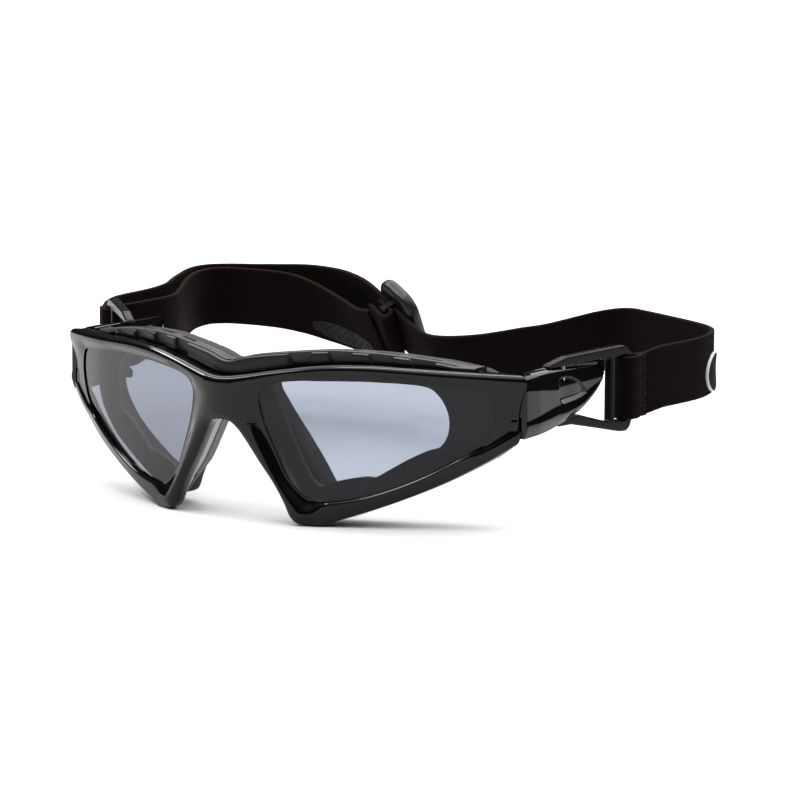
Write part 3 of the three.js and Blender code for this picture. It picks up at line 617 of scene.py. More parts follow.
GLOSS = gloss_black("gloss_black_plastic")
ARM_GLOSS = gloss_black("gloss_black_arm", (0.0012, 0.0010, 0.0015))
SATIN = satin("satin_black_plastic", (0.0016, 0.0014, 0.0019), (0.2, 0.34), spec=0.09)
GASKET_MAT = satin("gasket_plastic", (0.0046, 0.0040, 0.0050), (0.3, 0.46), 2600, 0.22, 0.28)
# painted light: a lighter copy of the gasket plastic, for the carrier flange seen through the lenses
FLANGE_LIT_MAT = satin("gasket_flange_painted_light", (0.0165, 0.0132, 0.0162), (0.4, 0.55), 2600, 0.12, 0.3)
# near-black painted shade: put on the brow's vent notches, and on the slider's bar and posts under its dome
VENT_SHADE_MAT = satin("vent_shadow", (0.0012, 0.0011, 0.0012), (0.6, 0.8), 2600, 0.3, 0.08)
FOAM_MAT = foam_mat("closed_cell_foam")
PAD_MAT = satin("nose_rubber", (0.30, 0.285, 0.27), (0.34, 0.5), 2400, 0.15)
PAD_BACK = satin("nose_rubber_back", (0.12, 0.105, 0.10), (0.4, 0.6), 2400, 0.15)
WEB_MAT = webbing_mat("ribbed_elastic")
STEEL_MAT = steel("screw_steel")
BADGE_MAT = satin("badge_rubber", (0.0014, 0.0011, 0.0010), (0.6, 0.75), 1800, 0.3, 0.03)
RING_MAT = satin("badge_ring", (0.36, 0.355, 0.35), (0.4, 0.55), 1800, 0.2)
GRIP_MAT = satin("grip_rubber", (0.0032, 0.0027, 0.0028), (0.5, 0.66), 1800, 0.3, 0.10)
THREAD_MAT = satin("stitch_thread", (0.017, 0.008, 0.0075), (0.6, 0.8), 5000, 0.5, 0.2)
SLIDER_MAT = satin("slider_plastic", (0.0040, 0.0035, 0.0040), (0.3, 0.46), 1500, 0.55, 0.26)
LENS_MAT = lens_mat("smoke_lens")

# ------------------------------------------------------------------ front frame
CENTRE = np.array([35.0, -2.0])
lens_curve = spline(LENS_OPENING, 0.5, closed=True)
top_full = [[-p[0], p[1]] for p in FRAME_TOP[:0:-1]] + FRAME_TOP
top_curve = spline(top_full, 0.6)
bot_full = FRAME_BOTTOM + [[-p[0], p[1]] for p in FRAME_BOTTOM[-2::-1]]
bot_curve = spline(bot_full, 0.45)
OUTLINE = np.vstack([top_curve, bot_curve])  # the real outline of the whole front, for distances


def half_outline(top, bot):
    """The x >= 0 part of an outline, closed down the middle."""
    t = top[top[:, 0] >= -1e-6]
    b = bot[bot[:, 0] >= -1e-6]
    mid = np.linspace(b[-1], t[0], 24)[1:-1]
    return np.vstack([t, b, mid])


half_frame = half_outline(top_curve, bot_curve)


def angles_for(curves, centre, n=300):
    a = [np.linspace(-math.pi, math.pi, n, endpoint=False)]
    for c in curves:
        a.append(np.arctan2(c[:, 1] - centre[1], c[:, 0] - centre[0]))
    a = np.sort(np.concatenate(a))
    keep = [a[0]]
    for v in a[1:]:
        if v - keep[-1] > 0.0045:
            keep.append(v)
    if keep[0] + 2 * math.pi - keep[-1] < 0.0045:
        keep.pop()
    return np.array(keep)


def frame_depth(x, z):
    """How far the front face lies behind S: ridges, facets, channels and the rounded outer edge."""
    P = np.stack([np.abs(x), z], 1)
    e = dist_to(P, OUTLINE)
    di = dist_to(P, lens_curve, closed=True)
    q = di / np.maximum(di + e, 1e-6)
    ang = np.degrees(np.arctan2(P[:, 1] - CENTRE[1], P[:, 0] - CENTRE[0]))
    ang = np.where(ang < -150, ang + 360, ang)  # -150..210
    brow = smooth(10, 22, ang) * (1 - smooth(138, 158, ang))
    bridge = smooth(138, 158, ang) * (1 - smooth(172, 186, ang))
    end = smooth(-16, -4, ang) * (1 - smooth(10, 22, ang))
    low = smooth(-124, -112, ang) * (1 - smooth(-16, -4, ang))
    nose = np.clip(1 - brow - bridge - end - low, 0, 1)

    def over(R):
        k = np.clip(1 - e / R, 0, 1)
        return R * (1 - np.sqrt(np.maximum(0, 1 - k * k)))

    d_brow = 1.0 * (1 - smooth(0.02, 0.62, q)) + over(1.7)
    d_bridge = 1.05 * (1 - smooth(0.02, 0.58, q)) + over(1.9)
    ridge = smooth(9.2, 10.6, P[:, 1])
    d_end = 1.05 * (1 - ridge) * (1 - 0.55 * smooth(3.4, 2.0, e)) + over(1.4) * (0.45 + 0.55 * ridge)
    d_low = 0.35 * (1 - smooth(0.0, 0.14, q)) + 1.15 * np.maximum(0, (q - 0.2) / 0.8) + over(0.8)
    d_nose = 1.1 * (1 - smooth(0.06, 0.56, q)) + 0.85 * smooth(0.58, 1.0, q) + over(1.5)
    return brow * d_brow + bridge * d_bridge + end * d_end + low * d_low + nose * d_nose


def half_ring(inner, outer, centre, rows, depth_rows):
    """Angles round one eye, with the distances along each ray to the two closed curves and the ray directions. rows is
    not used.
    """
    th = angles_for([inner, outer], centre)
    ri, ro = ray_hits(inner, centre, th), ray_hits(outer, centre, th)
    d = np.stack([np.cos(th), np.sin(th)], 1)
    return th, ri, ro, d


def build_front():
    th, ri, ro, d = half_ring(lens_curve, half_frame, CENTRE, None, None)
    n = len(th)
    k0 = [0, 0.12, 0.3, 0.55, 0.9, 1.3]
    k1 = [1.9, 1.45, 1.1, 0.8, 0.55, 0.35, 0.18, 0.07, 0]
    mid = [0.2, 0.4, 0.6, 0.8]
    cols = []  # each: (x, z, depth or None)
    W = ro - ri
    radial = []
    for a in k0:
        radial.append(ri + np.minimum(a, W * 0.3 * a / 1.3))
    for a in mid:
        lo, hi = np.minimum(1.3, W * 0.3), np.maximum(W - 1.9, W * 0.55)
        radial.append(ri + lo + (hi - lo) * a)
    for a in k1:
        radial.append(ro - np.minimum(a, W * 0.45 * a / 1.9))
    front_pts = [CENTRE + r[:, None] * d for r in radial]
    m = len(radial)
    verts = []
    for side_pts in front_pts:
        x, z = side_pts[:, 0], side_pts[:, 1]
        y = S(x, z) + frame_depth(x, z)
        verts.append(np.stack([x, y, z], 1))
    outer_xy = front_pts[-1]
    centre_row = outer_xy[:, 0] < 1e-4
    rows = list(verts)
    # outer wall and back
    for dep, ins in ((3.0, 0), (4.6, 0), (5.1, 0.12), (5.4, 0.5)):
        p = CENTRE + (ro - np.where(centre_row, 0, ins))[:, None] * d
        front_y = verts[-1][:, 1] - S(outer_xy[:, 0], outer_xy[:, 1])
        rows.append(np.stack([p[:, 0], S(p[:, 0], p[:, 1]) + np.maximum(dep, front_y + 0.2), p[:, 1]], 1))
    for rr, dep in ((ri + 1.9, 5.4), (ri + 1.62, 5.25), (ri + 1.5, 4.9), (ri + 1.5, 1.25), (ri + 0.0, 1.2)):
        p = CENTRE + rr[:, None] * d
        rows.append(np.stack([p[:, 0], S(p[:, 0], p[:, 1]) + dep, p[:, 1]], 1))
    R = len(rows)
    V = np.concatenate(rows)
    faces = []
    for r in range(R):
        r2 = (r + 1) % R
        wall = m - 1 <= r <= m + 2
        for k in range(n):
            k2 = (k + 1) % n
            if wall and centre_row[k] and centre_row[k2]:
                continue
            faces.append((r * n + k, r * n + k2, r2 * n + k2, r2 * n + k))
    # mirrored half
    Vm = V * np.array([-1, 1, 1])
    faces_all = faces + [tuple(len(V) + i for i in f[::-1]) for f in faces]
    o = put("front_shell", np.vstack([V, Vm]), faces_all, GLOSS)
    bm = bmesh.new()
    bm.from_mesh(o.data)
    bmesh.ops.remove_doubles(bm, verts=bm.verts, dist=3e-6)
    # stray inner faces where the back row meets the middle
    res = bmesh.ops.bisect_plane(bm, geom=bm.verts[:] + bm.edges[:] + bm.faces[:], plane_co=(0, SEAM_Y * MM, 0), plane_no=(0, 1, 0), clear_outer=True)
    rim = [e for e in bm.edges if e.is_boundary and all(abs(v.co.y - SEAM_Y * MM) < 1e-6 for v in e.verts)]
    filled = bmesh.ops.holes_fill(bm, edges=rim, sides=0)
    bmesh.ops.remove_doubles(bm, verts=bm.verts, dist=3e-6)
    bmesh.ops.recalc_face_normals(bm, faces=bm.faces)
    bm.to_mesh(o.data)
    bm.free()
    finish_mesh(o, 42)
    return o


front_shell = build_front()


def lug(name, side, z0, z1, mat, arm=False):
    if arm:
        pts = [[71.2, HINGE[1] - 1.4], [71.2, HINGE[1] + 2.9], [HINGE[0] - 1.2, HINGE[1] + 1.5], [HINGE[0] - 1.9, HINGE[1]], [HINGE[0] - 1.2, HINGE[1] - 1.4], [HINGE[0] + 1, HINGE[1] - 1.4]]
    else:
        pts = [[66.8, 31.6], [69.6, 32.9], [70.2, HINGE[1]], [HINGE[0] + 1.2, HINGE[1] + 1.5], [HINGE[0] - 1.2, HINGE[1] + 1.5], [HINGE[0] - 1.9, HINGE[1]], [66.1, SEAM_Y + 0.4]]
    pts = rounded(pts, 0.8, 4)
    hole = [[HINGE[0] + 0.95 * math.cos(a), HINGE[1] + 0.95 * math.sin(a)] for a in np.linspace(0, 2 * math.pi, 24, endpoint=False)]
    zc = (z0 + z1) / 2
    return plate(name, pts, [hole], z1 - z0, 0.25, lambda a, b, c: (side * a, b, zc + c), mat)


parts = [front_shell]
for side in (1, -1):
    for z0, z1 in ((-0.6, 2.6), (8.6, 11.8)):
        parts.append(lug("lug", side, z0, z1, GLOSS))
front = join(parts, "front_frame_shell")
finish_mesh(front, 42)
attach(front, "front")
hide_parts("front_frame")


# ------------------------------------------------------------------ lenses
def offset_curve(c, dist):
    t = np.roll(c, -1, 0) - np.roll(c, 1, 0)
    t /= np.linalg.norm(t, axis=1)[:, None]
    area = np.sum(c[:, 0] * np.roll(c[:, 1], -1) - c[:, 1] * np.roll(c[:, 0], -1))
    s = 1 if area > 0 else -1
    return c + s * dist * np.stack([t[:, 1], -t[:, 0]], 1)


def build_lens(side, name):
    rim = offset_curve(lens_curve, 1.15)
    n = len(rim)
    c0 = np.array([38.0, -2.0])
    taus = [0, 0.006, 0.02, 0.06, 0.12, 0.2, 0.3, 0.4, 0.5, 0.6, 0.7, 0.8, 0.9, 0.96]
    V, F = [], []
    for face, dep in ((0, 1.5), (1, 3.5)):
        for i, t in enumerate(taus):
            p = rim + (c0 - rim) * t
            soft = {0: 0.35, 1: 0.12}.get(i, 0)
            y = S(p[:, 0], p[:, 1]) + (dep + soft if face == 0 else dep - soft)
            V.extend(np.stack([side * p[:, 0], y, p[:, 1]], 1))
        V.append((side * c0[0], float(S(c0[0], c0[1])) + dep, c0[1]))
    blk = len(taus) * n + 1
    for face in (0, 1):
        b = face * blk
        for i in range(len(taus) - 1):
            for k in range(n):
                F.append((b + i * n + k, b + i * n + (k + 1) % n, b + (i + 1) * n + (k + 1) % n, b + (i + 1) * n + k))
        for k in range(n):
            F.append((b + (len(taus) - 1) * n + k, b + (len(taus) - 1) * n + (k + 1) % n, b + blk - 1))
    for k in range(n):
        F.append((k, (k + 1) % n, blk + (k + 1) % n, blk + k))
    o = put(name, V, F, LENS_MAT, 50)
    return o


for side, L in ((1, "left"), (-1, "right")):
    o = build_lens(side, f"lens_pane_{L}")
    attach(o, "front")
    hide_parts(f"lens_{L}")


# ------------------------------------------------------------------ gasket carrier, foam
def whole(half_rows, faces, name, mat, sharp=38):
    V = np.concatenate(half_rows)
    Vm = V * np.array([-1, 1, 1])
    o = put(name, np.vstack([V, Vm]), faces + [tuple(len(V) + i for i in f[::-1]) for f in faces], mat, sharp)
    finish_mesh(o, sharp, weld=0.003)
    return o


def gasket_curves(inset=0.0):
    top = [p for p in GASKET[:9]]
    bottom = GASKET[8:]
    full_top = [[-p[0], p[1]] for p in top[:0:-1]] + top
    full_bot = bottom + [[-p[0], p[1]] for p in bottom[-2::-1]]
    t, b = spline(full_top, 0.7), spline(full_bot, 0.6)
    loop = np.vstack([t[:-1], b[:-1]])
    if inset:
        loop = offset_curve(loop, -inset)
    right = loop[loop[:, 0] >= 0]
    # order: top from the middle outward, then the bottom back to the middle
    start = int(np.argmax((right[:, 1] > 10) * (40 - right[:, 0])))
    right = np.roll(right, -start, 0)
    a, z = right[0].copy(), right[-1].copy()
    a[0] = z[0] = 0
    right = np.vstack([a, right, z])
    mid = np.linspace(right[-1], right[0], 14)[1:-1]
    return np.vstack([right, mid]), loop


def ring_object(name, inner, outer, centre, profile, mat, sharp=38, jitter=0.0):
    """profile: list of (where, inset, depth): where is 'o' or 'i'; inset in mm from that curve, and depth behind S; each may be a function of (x, z)."""
    th = angles_for([inner, outer], centre, 260)
    ri, ro = ray_hits(inner, centre, th), ray_hits(outer, centre, th)
    d = np.stack([np.cos(th), np.sin(th)], 1)
    po = centre + ro[:, None] * d
    mid = po[:, 0] < 1e-3
    n = len(th)
    rows = []
    for where, inset, depth in profile:
        base = po if where == "o" else centre + ri[:, None] * d
        ins = inset(base[:, 0], base[:, 1]) if callable(inset) else np.full(n, float(inset))
        if where == "o":
            r = ro - np.where(mid, 0, np.minimum(ins, (ro - ri) * 0.45))
        else:
            r = ri + np.minimum(ins, (ro - ri) * 0.45)
        p = centre + r[:, None] * d
        dep = depth(p[:, 0], p[:, 1]) if callable(depth) else depth
        rows.append(np.stack([p[:, 0], S(p[:, 0], p[:, 1]) + dep, p[:, 1]], 1))
    wall = [i for i in range(len(profile)) if profile[i][0] == "o"]
    faces = []
    R = len(rows)
    for r in range(R):
        r2 = (r + 1) % R
        both_outer = profile[r][0] == "o" and profile[r2][0] == "o"
        for k in range(n):
            k2 = (k + 1) % n
            if both_outer and mid[k] and mid[k2]:
                continue
            faces.append((r * n + k, r * n + k2, r2 * n + k2, r2 * n + k))
    return whole(rows, faces, name, mat, sharp)


window_curve = spline(WINDOW, 0.6, closed=True, sharp=())
gasket_half, gasket_loop = gasket_curves()
G_CENTRE = np.array([33.0, -1.0])
carrier_plate = ring_object("carrier_plate", window_curve, gasket_half, G_CENTRE, [
    ("i", 0.0, 7.75), ("i", 0.0, 6.5), ("i", 0.08, 6.28), ("i", 0.25, 6.2), ("o", 0.6, 6.2), ("o", 0.15, 6.3), ("o", 0.0, 6.6),
    ("o", 0.0, 7.6), ("o", 0.15, 7.9), ("o", 0.6, 8.0), ("i", 0.25, 8.0), ("i", 0.08, 7.95)], GASKET_MAT)

# the raised brow wall with its vents and the thin lip behind them
top_line = spline([[-p[0], p[1]] for p in BROW_TOP[:0:-1]] + BROW_TOP, 0.35)
frame_top_x, frame_top_z = top_curve[:, 0], top_curve[:, 1]


def notch(x):
    a = np.abs(x)
    out = np.zeros_like(a)
    for i in range(4):
        c = 18.6 + 9.6 * i
        out = np.maximum(out, 1 - smooth(2.1, 2.95, np.abs(a - c)))
    return out


def build_brow():
    x, zt = top_line[:, 0], top_line[:, 1]
    zf = np.interp(x, frame_top_x, frame_top_z)
    nt = notch(x)
    fade = smooth(59.4, 54.5, np.abs(x))
    zn = np.maximum(zt - 0.35 - 2.15 * nt * fade, zf + 0.7)
    zt = np.maximum(zt, zn + 0.1)
    f0 = 4.9 + 0.9 * nt
    sec = [(6.0 + 0 * x, zf - 2.0), (6.0 + 0 * x, zf + 0.25), (f0, zf + 0.4), (f0 - 0.05, zn - 0.65), (f0 + 0.15, zn - 0.22), (f0 + 0.55, zn),
           (8.3 + 0 * x, zn), (8.62 + 0 * x, zn + 0.04), (8.75 + 0 * x, np.maximum(zn + 0.08, zt - 0.4)), (8.95 + 0 * x, zt - 0.08), (9.4 + 0 * x, zt + 0.02), (9.9 + 0 * x, zt - 0.1),
           (10.15 + 0 * x, zt - 0.4), (10.15 + 0 * x, zt - 2.3), (9.9 + 0 * x, zt - 2.55), (8.1 + 0 * x, zt - 2.7), (8.05 + 0 * x, zf - 2.0)]
    n, m = len(x), len(sec)
    V = []
    for dep, z in sec:
        V.append(np.stack([x, S(x, z) + dep, z], 1))
    V = np.concatenate(V)
    F = []
    for r in range(m):
        for k in range(n - 1):
            F.append((r * n + k, r * n + k + 1, ((r + 1) % m) * n + k + 1, ((r + 1) % m) * n + k))
    F.append(tuple(r * n for r in range(m)))
    F.append(tuple(r * n + n - 1 for r in range(m))[::-1])
    o = put("carrier_brow", V, F, GASKET_MAT, 34)
    # the vent notches get the painted-shade material (index 1) where the real vents are holes
    o.data.materials.append(VENT_SHADE_MAT)
    for r in (2, 3, 4, 5, 6, 7):
        for k in range(n - 1):
            if nt[k] > 0.55 and nt[k + 1] > 0.55 and fade[k] > 0.3:
                o.data.polygons[r * (n - 1) + k].material_index = 1
    return o


brow = build_brow()
# the flange takes the lighter painted-light copy of the carrier's plastic
carrier_plate.data.materials[0] = FLANGE_LIT_MAT
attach(carrier_plate, "front")
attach(brow, "front")
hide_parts("gasket_carrier")

foam_half, foam_loop = gasket_curves(0.5)
foam_inner = spline(FOAM_INNER, 0.8, closed=True)


def brow_inset(x, z):
    up = smooth(8.0, 12.5, z) * (1 - smooth(56, 62, np.abs(x)))
    return 2.8 * up


def foam_depth(full):
    return lambda x, z: 8.3 + (full - 8.3) * np.ones_like(x)


foam = ring_object("face_foam_ring", foam_inner, foam_half, G_CENTRE, [
    ("i", 0.0, 14.3), ("i", -0.0, 9.2), ("i", 0.12, 8.6), ("i", 0.5, 8.32),
    ("o", lambda x, z: brow_inset(x, z) + 0.5, 8.32), ("o", lambda x, z: brow_inset(x, z) + 0.12, 8.6), ("o", brow_inset, 9.2),
    ("o", brow_inset, 10.5), ("o", lambda x, z: brow_inset(x, z) * 0.12, 10.75), ("o", 0.0, 11.3), ("o", 0.0, 13.4), ("o", 0.22, 14.5), ("o", 0.75, 15.2), ("o", 1.5, 15.5),
    ("i", 1.5, 15.5), ("i", 0.75, 15.2), ("i", 0.22, 14.8)], FOAM_MAT, 60)
bm = bmesh.new()
bm.from_mesh(foam.data)
rng = np.random.default_rng(7)
for v in bm.verts:
    a, b, c = (v.co / MM)
    k = 0.05 * math.sin(a * 2.1 + c * 1.3) * math.sin(b * 1.7 - c * 0.9) + 0.03 * (rng.random() - 0.5)
    if abs(a) > 0.05 and v.co.y / MM - float(S(a, c)) > 9:
        v.co += v.normal * k * MM
bm.to_mesh(foam.data)
bm.free()
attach(foam, "front")
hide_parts("face_foam", "foam_end_left", "foam_end_right")


# ------------------------------------------------------------------ nose pads: soft leaves standing behind the arch
def build_pad(side, name):
    outline = rounded(NOSE_LEAF, 0.7, 4)
    sl = [((0, 0, 0), (1, 0, 0))]
    lo, hi = 5.8, 12.5

    def at(a, b, n):
        t = (n + 3.35) / 6.7
        k = 0.2 + 0.8 * float(smooth(-22.8, -12.0, b))
        x = a + 0.5 * math.sin(math.pi * t)
        return (side * x, float(S(a, b)) + lo + (hi - lo) * t * k, b)

    cuts = [((0, z, 0), (0, 1, 0)) for z in np.arange(-21, 0, 1.4)] + [((0, 0, d), (0, 0, 1)) for d in np.arange(-2.4, 2.5, 0.8)]
    o = plate(name, outline, [], 6.7, 0.45, at, PAD_MAT, 3, cuts)
    o.data.materials.append(GASKET_MAT)
    o.data.materials.append(PAD_BACK)
    for p in o.data.polygons:
        c = p.center / MM
        k = 0.2 + 0.8 * float(smooth(-22.8, -12.0, c.z))
        t = (c.y - float(S(c.x, c.z)) - lo) / ((hi - lo) * k)
        p.material_index = 0 if t < 0.5 else (1 if t < 0.64 else 2)
    return o


for side, L in ((1, "left"), (-1, "right")):
    o = build_pad(side, f"nose_leaf_{L}")
    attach(o, "front")
    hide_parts(f"nose_pad_{L}")

# ------------------------------------------------------------------ arms
ARM_Y = [33.7, 40, 50, 62, 72.5]
ARM_OUT = [72.3, 72.5, 72.1, 71.6, 71.2]
ARM_IN = [67.2, 67.2, 67.4, 68.6, 69.9]


def prism(name, outline, thick, bevel, place, mat, slices=(), seg=4):
    """A plate made as a plain prism whose long edges are then rounded, clean enough to cut."""
    bm = bmesh.new()
    low = [bm.verts.new((p[0], p[1], -thick / 2)) for p in outline]
    high = [bm.verts.new((p[0], p[1], thick / 2)) for p in outline]
    f0, f1 = bm.faces.new(low[::-1]), bm.faces.new(high)
    n = len(outline)
    for i in range(n):
        bm.faces.new((low[i], low[(i + 1) % n], high[(i + 1) % n], high[i]))
    bmesh.ops.recalc_face_normals(bm, faces=bm.faces)
    edges = list(f0.edges) + list(f1.edges)
    bmesh.ops.bevel(bm, geom=edges, offset=bevel, offset_type="OFFSET", segments=seg, profile=0.5, affect="EDGES", clamp_overlap=False)
    for co, no in slices:
        bmesh.ops.bisect_plane(bm, geom=bm.verts[:] + bm.edges[:] + bm.faces[:], plane_co=co, plane_no=no)
    for v in bm.verts:
        v.co = Vector(place(v.co.x, v.co.y, v.co.z)) * MM
    me = bpy.data.meshes.new(name)
    bmesh.ops.recalc_face_normals(bm, faces=bm.faces)
    bm.to_mesh(me)
    bm.free()
    o = bpy.data.objects.new(name, me)
    bpy.context.scene.collection.objects.link(o)
    me.materials.append(mat)
    return o


ARM_HI = [(33.7, 13.4), (44, 13.55), (60, 13.1), (70.2, 12.65), (71.6, 12.2), (72.2, 11.4), (72.45, 10.6)]
ARM_LO = [(33.7, -2.6), (43.1, -2.1), (49.6, -1.25), (52.5, -0.75), (55.6, 0.0), (58.8, 0.8), (61.5, 1.6), (66.7, 4.15), (70.0, 6.4), (71.8, 8.2), (72.45, 9.4)]
ARM_LO_IN = [(33.7, -2.6), (43.1, -2.1), (50.3, -1.1), (51.1, 0.75), (58.2, 0.95), (61.5, 1.6), (66.7, 4.15), (70.0, 6.4), (71.8, 8.2), (72.45, 9.4)]


def along(table, y):
    c = spline(table, 0.4)
    return float(np.interp(y, c[:, 0], c[:, 1]))


POCKET = spline([[50.0, 8.6], [50.9, 10.4], [53.5, 10.8], [57.5, 10.2], [61.5, 8.2], [64.6, 5.6], [60.5, 4.6], [55.0, 4.1], [50.9, 4.2], [50.0, 5.6]], 0.4, closed=True, sharp=(5,))


def inside(poly, y, z):
    a, b = poly, np.roll(poly, -1, axis=0)
    hit = ((a[:, 1] > z) != (b[:, 1] > z)) & (y < (b[:, 0] - a[:, 0]) * (z - a[:, 1]) / (b[:, 1] - a[:, 1] + 1e-12) + a[:, 0])
    return hit.sum() % 2 == 1


def arm_inset(y, z, lo, hi):
    """How far the arm's outer face lies behind its outer line: bands, a lower facet and the pocket."""
    t = smooth(52.0, 60.0, y)
    zA = float(np.interp(y, [33.7, 36, 48, 60, 73], [9.6, 9.4, 8.0, 8.4, 8.8]))
    zC = lo + float(np.interp(y, [33.7, 48, 55, 62, 73], [3.0, 3.0, 1.9, 1.25, 0.7])) * min(1.0, (hi - lo) / 7)
    zB = max(zC + 0.1, float(np.interp(y, [33.7, 36, 48, 60, 73], [2.0, 2.2, 4.1, 5.2, 8.8])))
    zA = max(zA, zB + 0.05)
    top = hi - 1.5
    z_k = [lo, lo + (zC - lo) * 0.5, zC, zB, zA, max(zA + 0.1, top), max(zA + 0.4, hi - 0.75), max(zA + 0.7, hi - 0.28), hi]
    x_k = [1.15, 0.5, 0.0, 0.2 * (zB - zC), 0.2 * (zB - zC), 0.2 * (zB - zC) + 0.2 * max(0.0, top - zA), 0, 0, 0]
    x_k[6], x_k[7], x_k[8] = x_k[5] + 0.32, x_k[5] + 0.75, x_k[5] + 1.5
    d = float(np.mean([np.interp(z + q, z_k, x_k) for q in (-0.22, -0.11, 0, 0.11, 0.22)]))
    if 48.5 < y < 66 and 3.5 < z < 11.5 and inside(POCKET, y, z):
        e = float(dist_to(np.array([[y, z]]), POCKET, closed=True)[0])
        wide = 0.42 + 1.2 * float(smooth(7.2, 5.2, z))
        d += float(smooth(0.0, wide, e)) * (0.86 - 0.2 * t) - 0.16 * (z - 7.5) * float(smooth(0.3, 1.0, e)) * 0.25
    return d


def build_arm(side, L):
    """A loft along the arm with a sculpted outer face."""
    ys = np.unique(np.round(np.concatenate([[33.7, 33.8, 34.0], np.arange(34.4, 49.2, 0.8), np.arange(49.4, 51.2, 0.12), np.arange(51.2, 66, 0.3), np.arange(66.3, 71.2, 0.6), [71.3, 71.7, 72.0, 72.2, 72.36, 72.45]]), 3))
    V, F = [], []
    grid = np.concatenate([np.linspace(0, 0.3, 16), np.linspace(0.3, 0.86, 34)[1:], np.linspace(0.86, 1.0, 9)[1:]])
    for y in ys:
        xo, xi = float(np.interp(y, ARM_Y, ARM_OUT)), float(np.interp(y, ARM_Y, ARM_IN))
        hi, lo, li = along(ARM_HI, y), along(ARM_LO, y), float(np.interp(y, [a for a, _ in ARM_LO_IN], [b for _, b in ARM_LO_IN]))
        h = hi - lo
        k = min(1.0, h / 6.0)
        tip = float(smooth(72.6, 71.0, y))
        xm = (xo + xi) / 2
        xo, xi = xm + (xo - xm) * (0.35 + 0.65 * tip), xm + (xi - xm) * (0.35 + 0.65 * tip)
        w = xo - xi
        end = 0.12 if y < 33.75 else (0.03 if y < 33.9 else 0.0)
        pr = [(xi + 0.5, hi), (xi + 0.15, hi - 0.15), (xi, hi - 0.5 * k), (xi, hi - h * 0.5), (xi, li + 0.5 * k), (xi + 0.15, li + 0.15), (xi + 0.5, li),
              (xi + w * 0.62, li), (xi + w * 0.66, max(lo + 0.02, li - 0.12)), (xi + w * 0.69, lo + 0.06), (xi + w * 0.72, lo)]
        for g in grid:
            z = lo + h * g
            pr.append((xo - min(arm_inset(y, z, lo, hi) * (0.25 + 0.75 * tip), w * 0.6), z))
        pr.append((xo - min(w * 0.7, arm_inset(y, hi, lo, hi) + 0.9), hi + 0.02))
        cx, cz = (xo + xi) / 2, (hi + lo) / 2
        for x, z in pr:
            V.append((side * (x + (cx - x) * end), y, z + (cz - z) * end * 0.3))
    m, n = len(pr), len(ys)
    for a in range(n - 1):
        for b in range(m):
            F.append((a * m + b, a * m + (b + 1) % m, (a + 1) * m + (b + 1) % m, (a + 1) * m + b))
    F.append(tuple(range(m)))
    F.append(tuple((n - 1) * m + b for b in range(m))[::-1])
    o = put(f"strap_arm_body_{L}", V, F, ARM_GLOSS, 35)

    def block(x0, x1, y0, y1, z0, z1):
        vs = [(side * x, y, z) for x in (x0, x1) for y in (y0, y1) for z in (z0, z1)]
        return put("c", vs, [(0, 1, 3, 2), (4, 6, 7, 5), (0, 4, 5, 1), (2, 3, 7, 6), (0, 2, 6, 4), (1, 5, 7, 3)], ARM_GLOSS)

    # room for the frame's lugs
    cut(o, block(60, 70.6, 32, 38.05, -0.95, 2.9))
    cut(o, block(60, 70.6, 32, 38.05, 8.3, 18))
    # bore for the pin
    n = 24
    ring = [(side * PIVOT[0] + 1.05 * math.cos(2 * math.pi * i / n), PIVOT[1] + 1.05 * math.sin(2 * math.pi * i / n)) for i in range(n)]
    vs = [(a, b, z) for z in (-8, 18) for a, b in ring]
    fs = [tuple(range(n)), tuple(range(2 * n - 1, n - 1, -1))] + [(i, n + i, n + (i + 1) % n, (i + 1) % n) for i in range(n)]
    cut(o, put("c", vs, fs, ARM_GLOSS))
    mid = lug("lug", side, 2.95, 8.25, ARM_GLOSS, arm=True)
    o = join([o, mid], f"strap_arm_body_{L}")
    finish_mesh(o, 32)
    return o


for side, L in ((1, "left"), (-1, "right")):
    o = build_arm(side, L)
    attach(o, f"arm_{L}")
    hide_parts(f"strap_arm_{L}")
    x = side * HINGE[0]
    screw = lathe(f"hinge_screw_turned_{L}", [(0.55, -0.4), (0.75, -0.2), (0.75, 12.1), (1.3, 12.1), (1.5, 12.25), (1.5, 12.6), (1.42, 12.78), (1.25, 12.9)], x, HINGE[1], STEEL_MAT, 36, (0.4, 0.35))
    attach(screw, "front")
    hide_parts(f"hinge_screw_{L}")
    pin = lathe(f"loop_pin_turned_{L}", [(0.55, -1.2), (0.72, -1.14), (0.8, -0.95), (0.8, 14.95), (0.72, 15.14), (0.55, 15.2)], side * PIVOT[0], PIVOT[1], STEEL_MAT, 36)
    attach(pin, f"arm_{L}")
    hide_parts(f"loop_pin_{L}")


# ------------------------------------------------------------------ strap loops
def placer(side, turn):
    a = math.radians(turn)
    d, n = (math.sin(a), math.cos(a)), (math.cos(a), -math.sin(a))
    return lambda v, z, w: (side * (PIVOT[0] + v * d[0] + w * n[0]), PIVOT[1] + v * d[1] + w * n[1], z)


for side, turn, L in ((1, TURN_LEFT, "left"), (-1, TURN_RIGHT, "right")):
    at = placer(side, turn)
    r = [0.5, 0.6, 3, 3, 2.5, 1.6, 1.6, 1.8, 1.4, 1.2, 2, 2, 1.0, 0.9, 0.7, 1.4, 0.6, 0.3, 0.9, 0.2]
    o = plate(f"strap_loop_moulded_{L}", rounded(LOOP_OUT, r, 5), [rounded(LOOP_SLOT, 0.5, 4)], 2.6, 0.6, at, SATIN, 4)
    weighted(o)
    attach(o, f"loop_{L}")
    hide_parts(f"strap_loop_{L}")


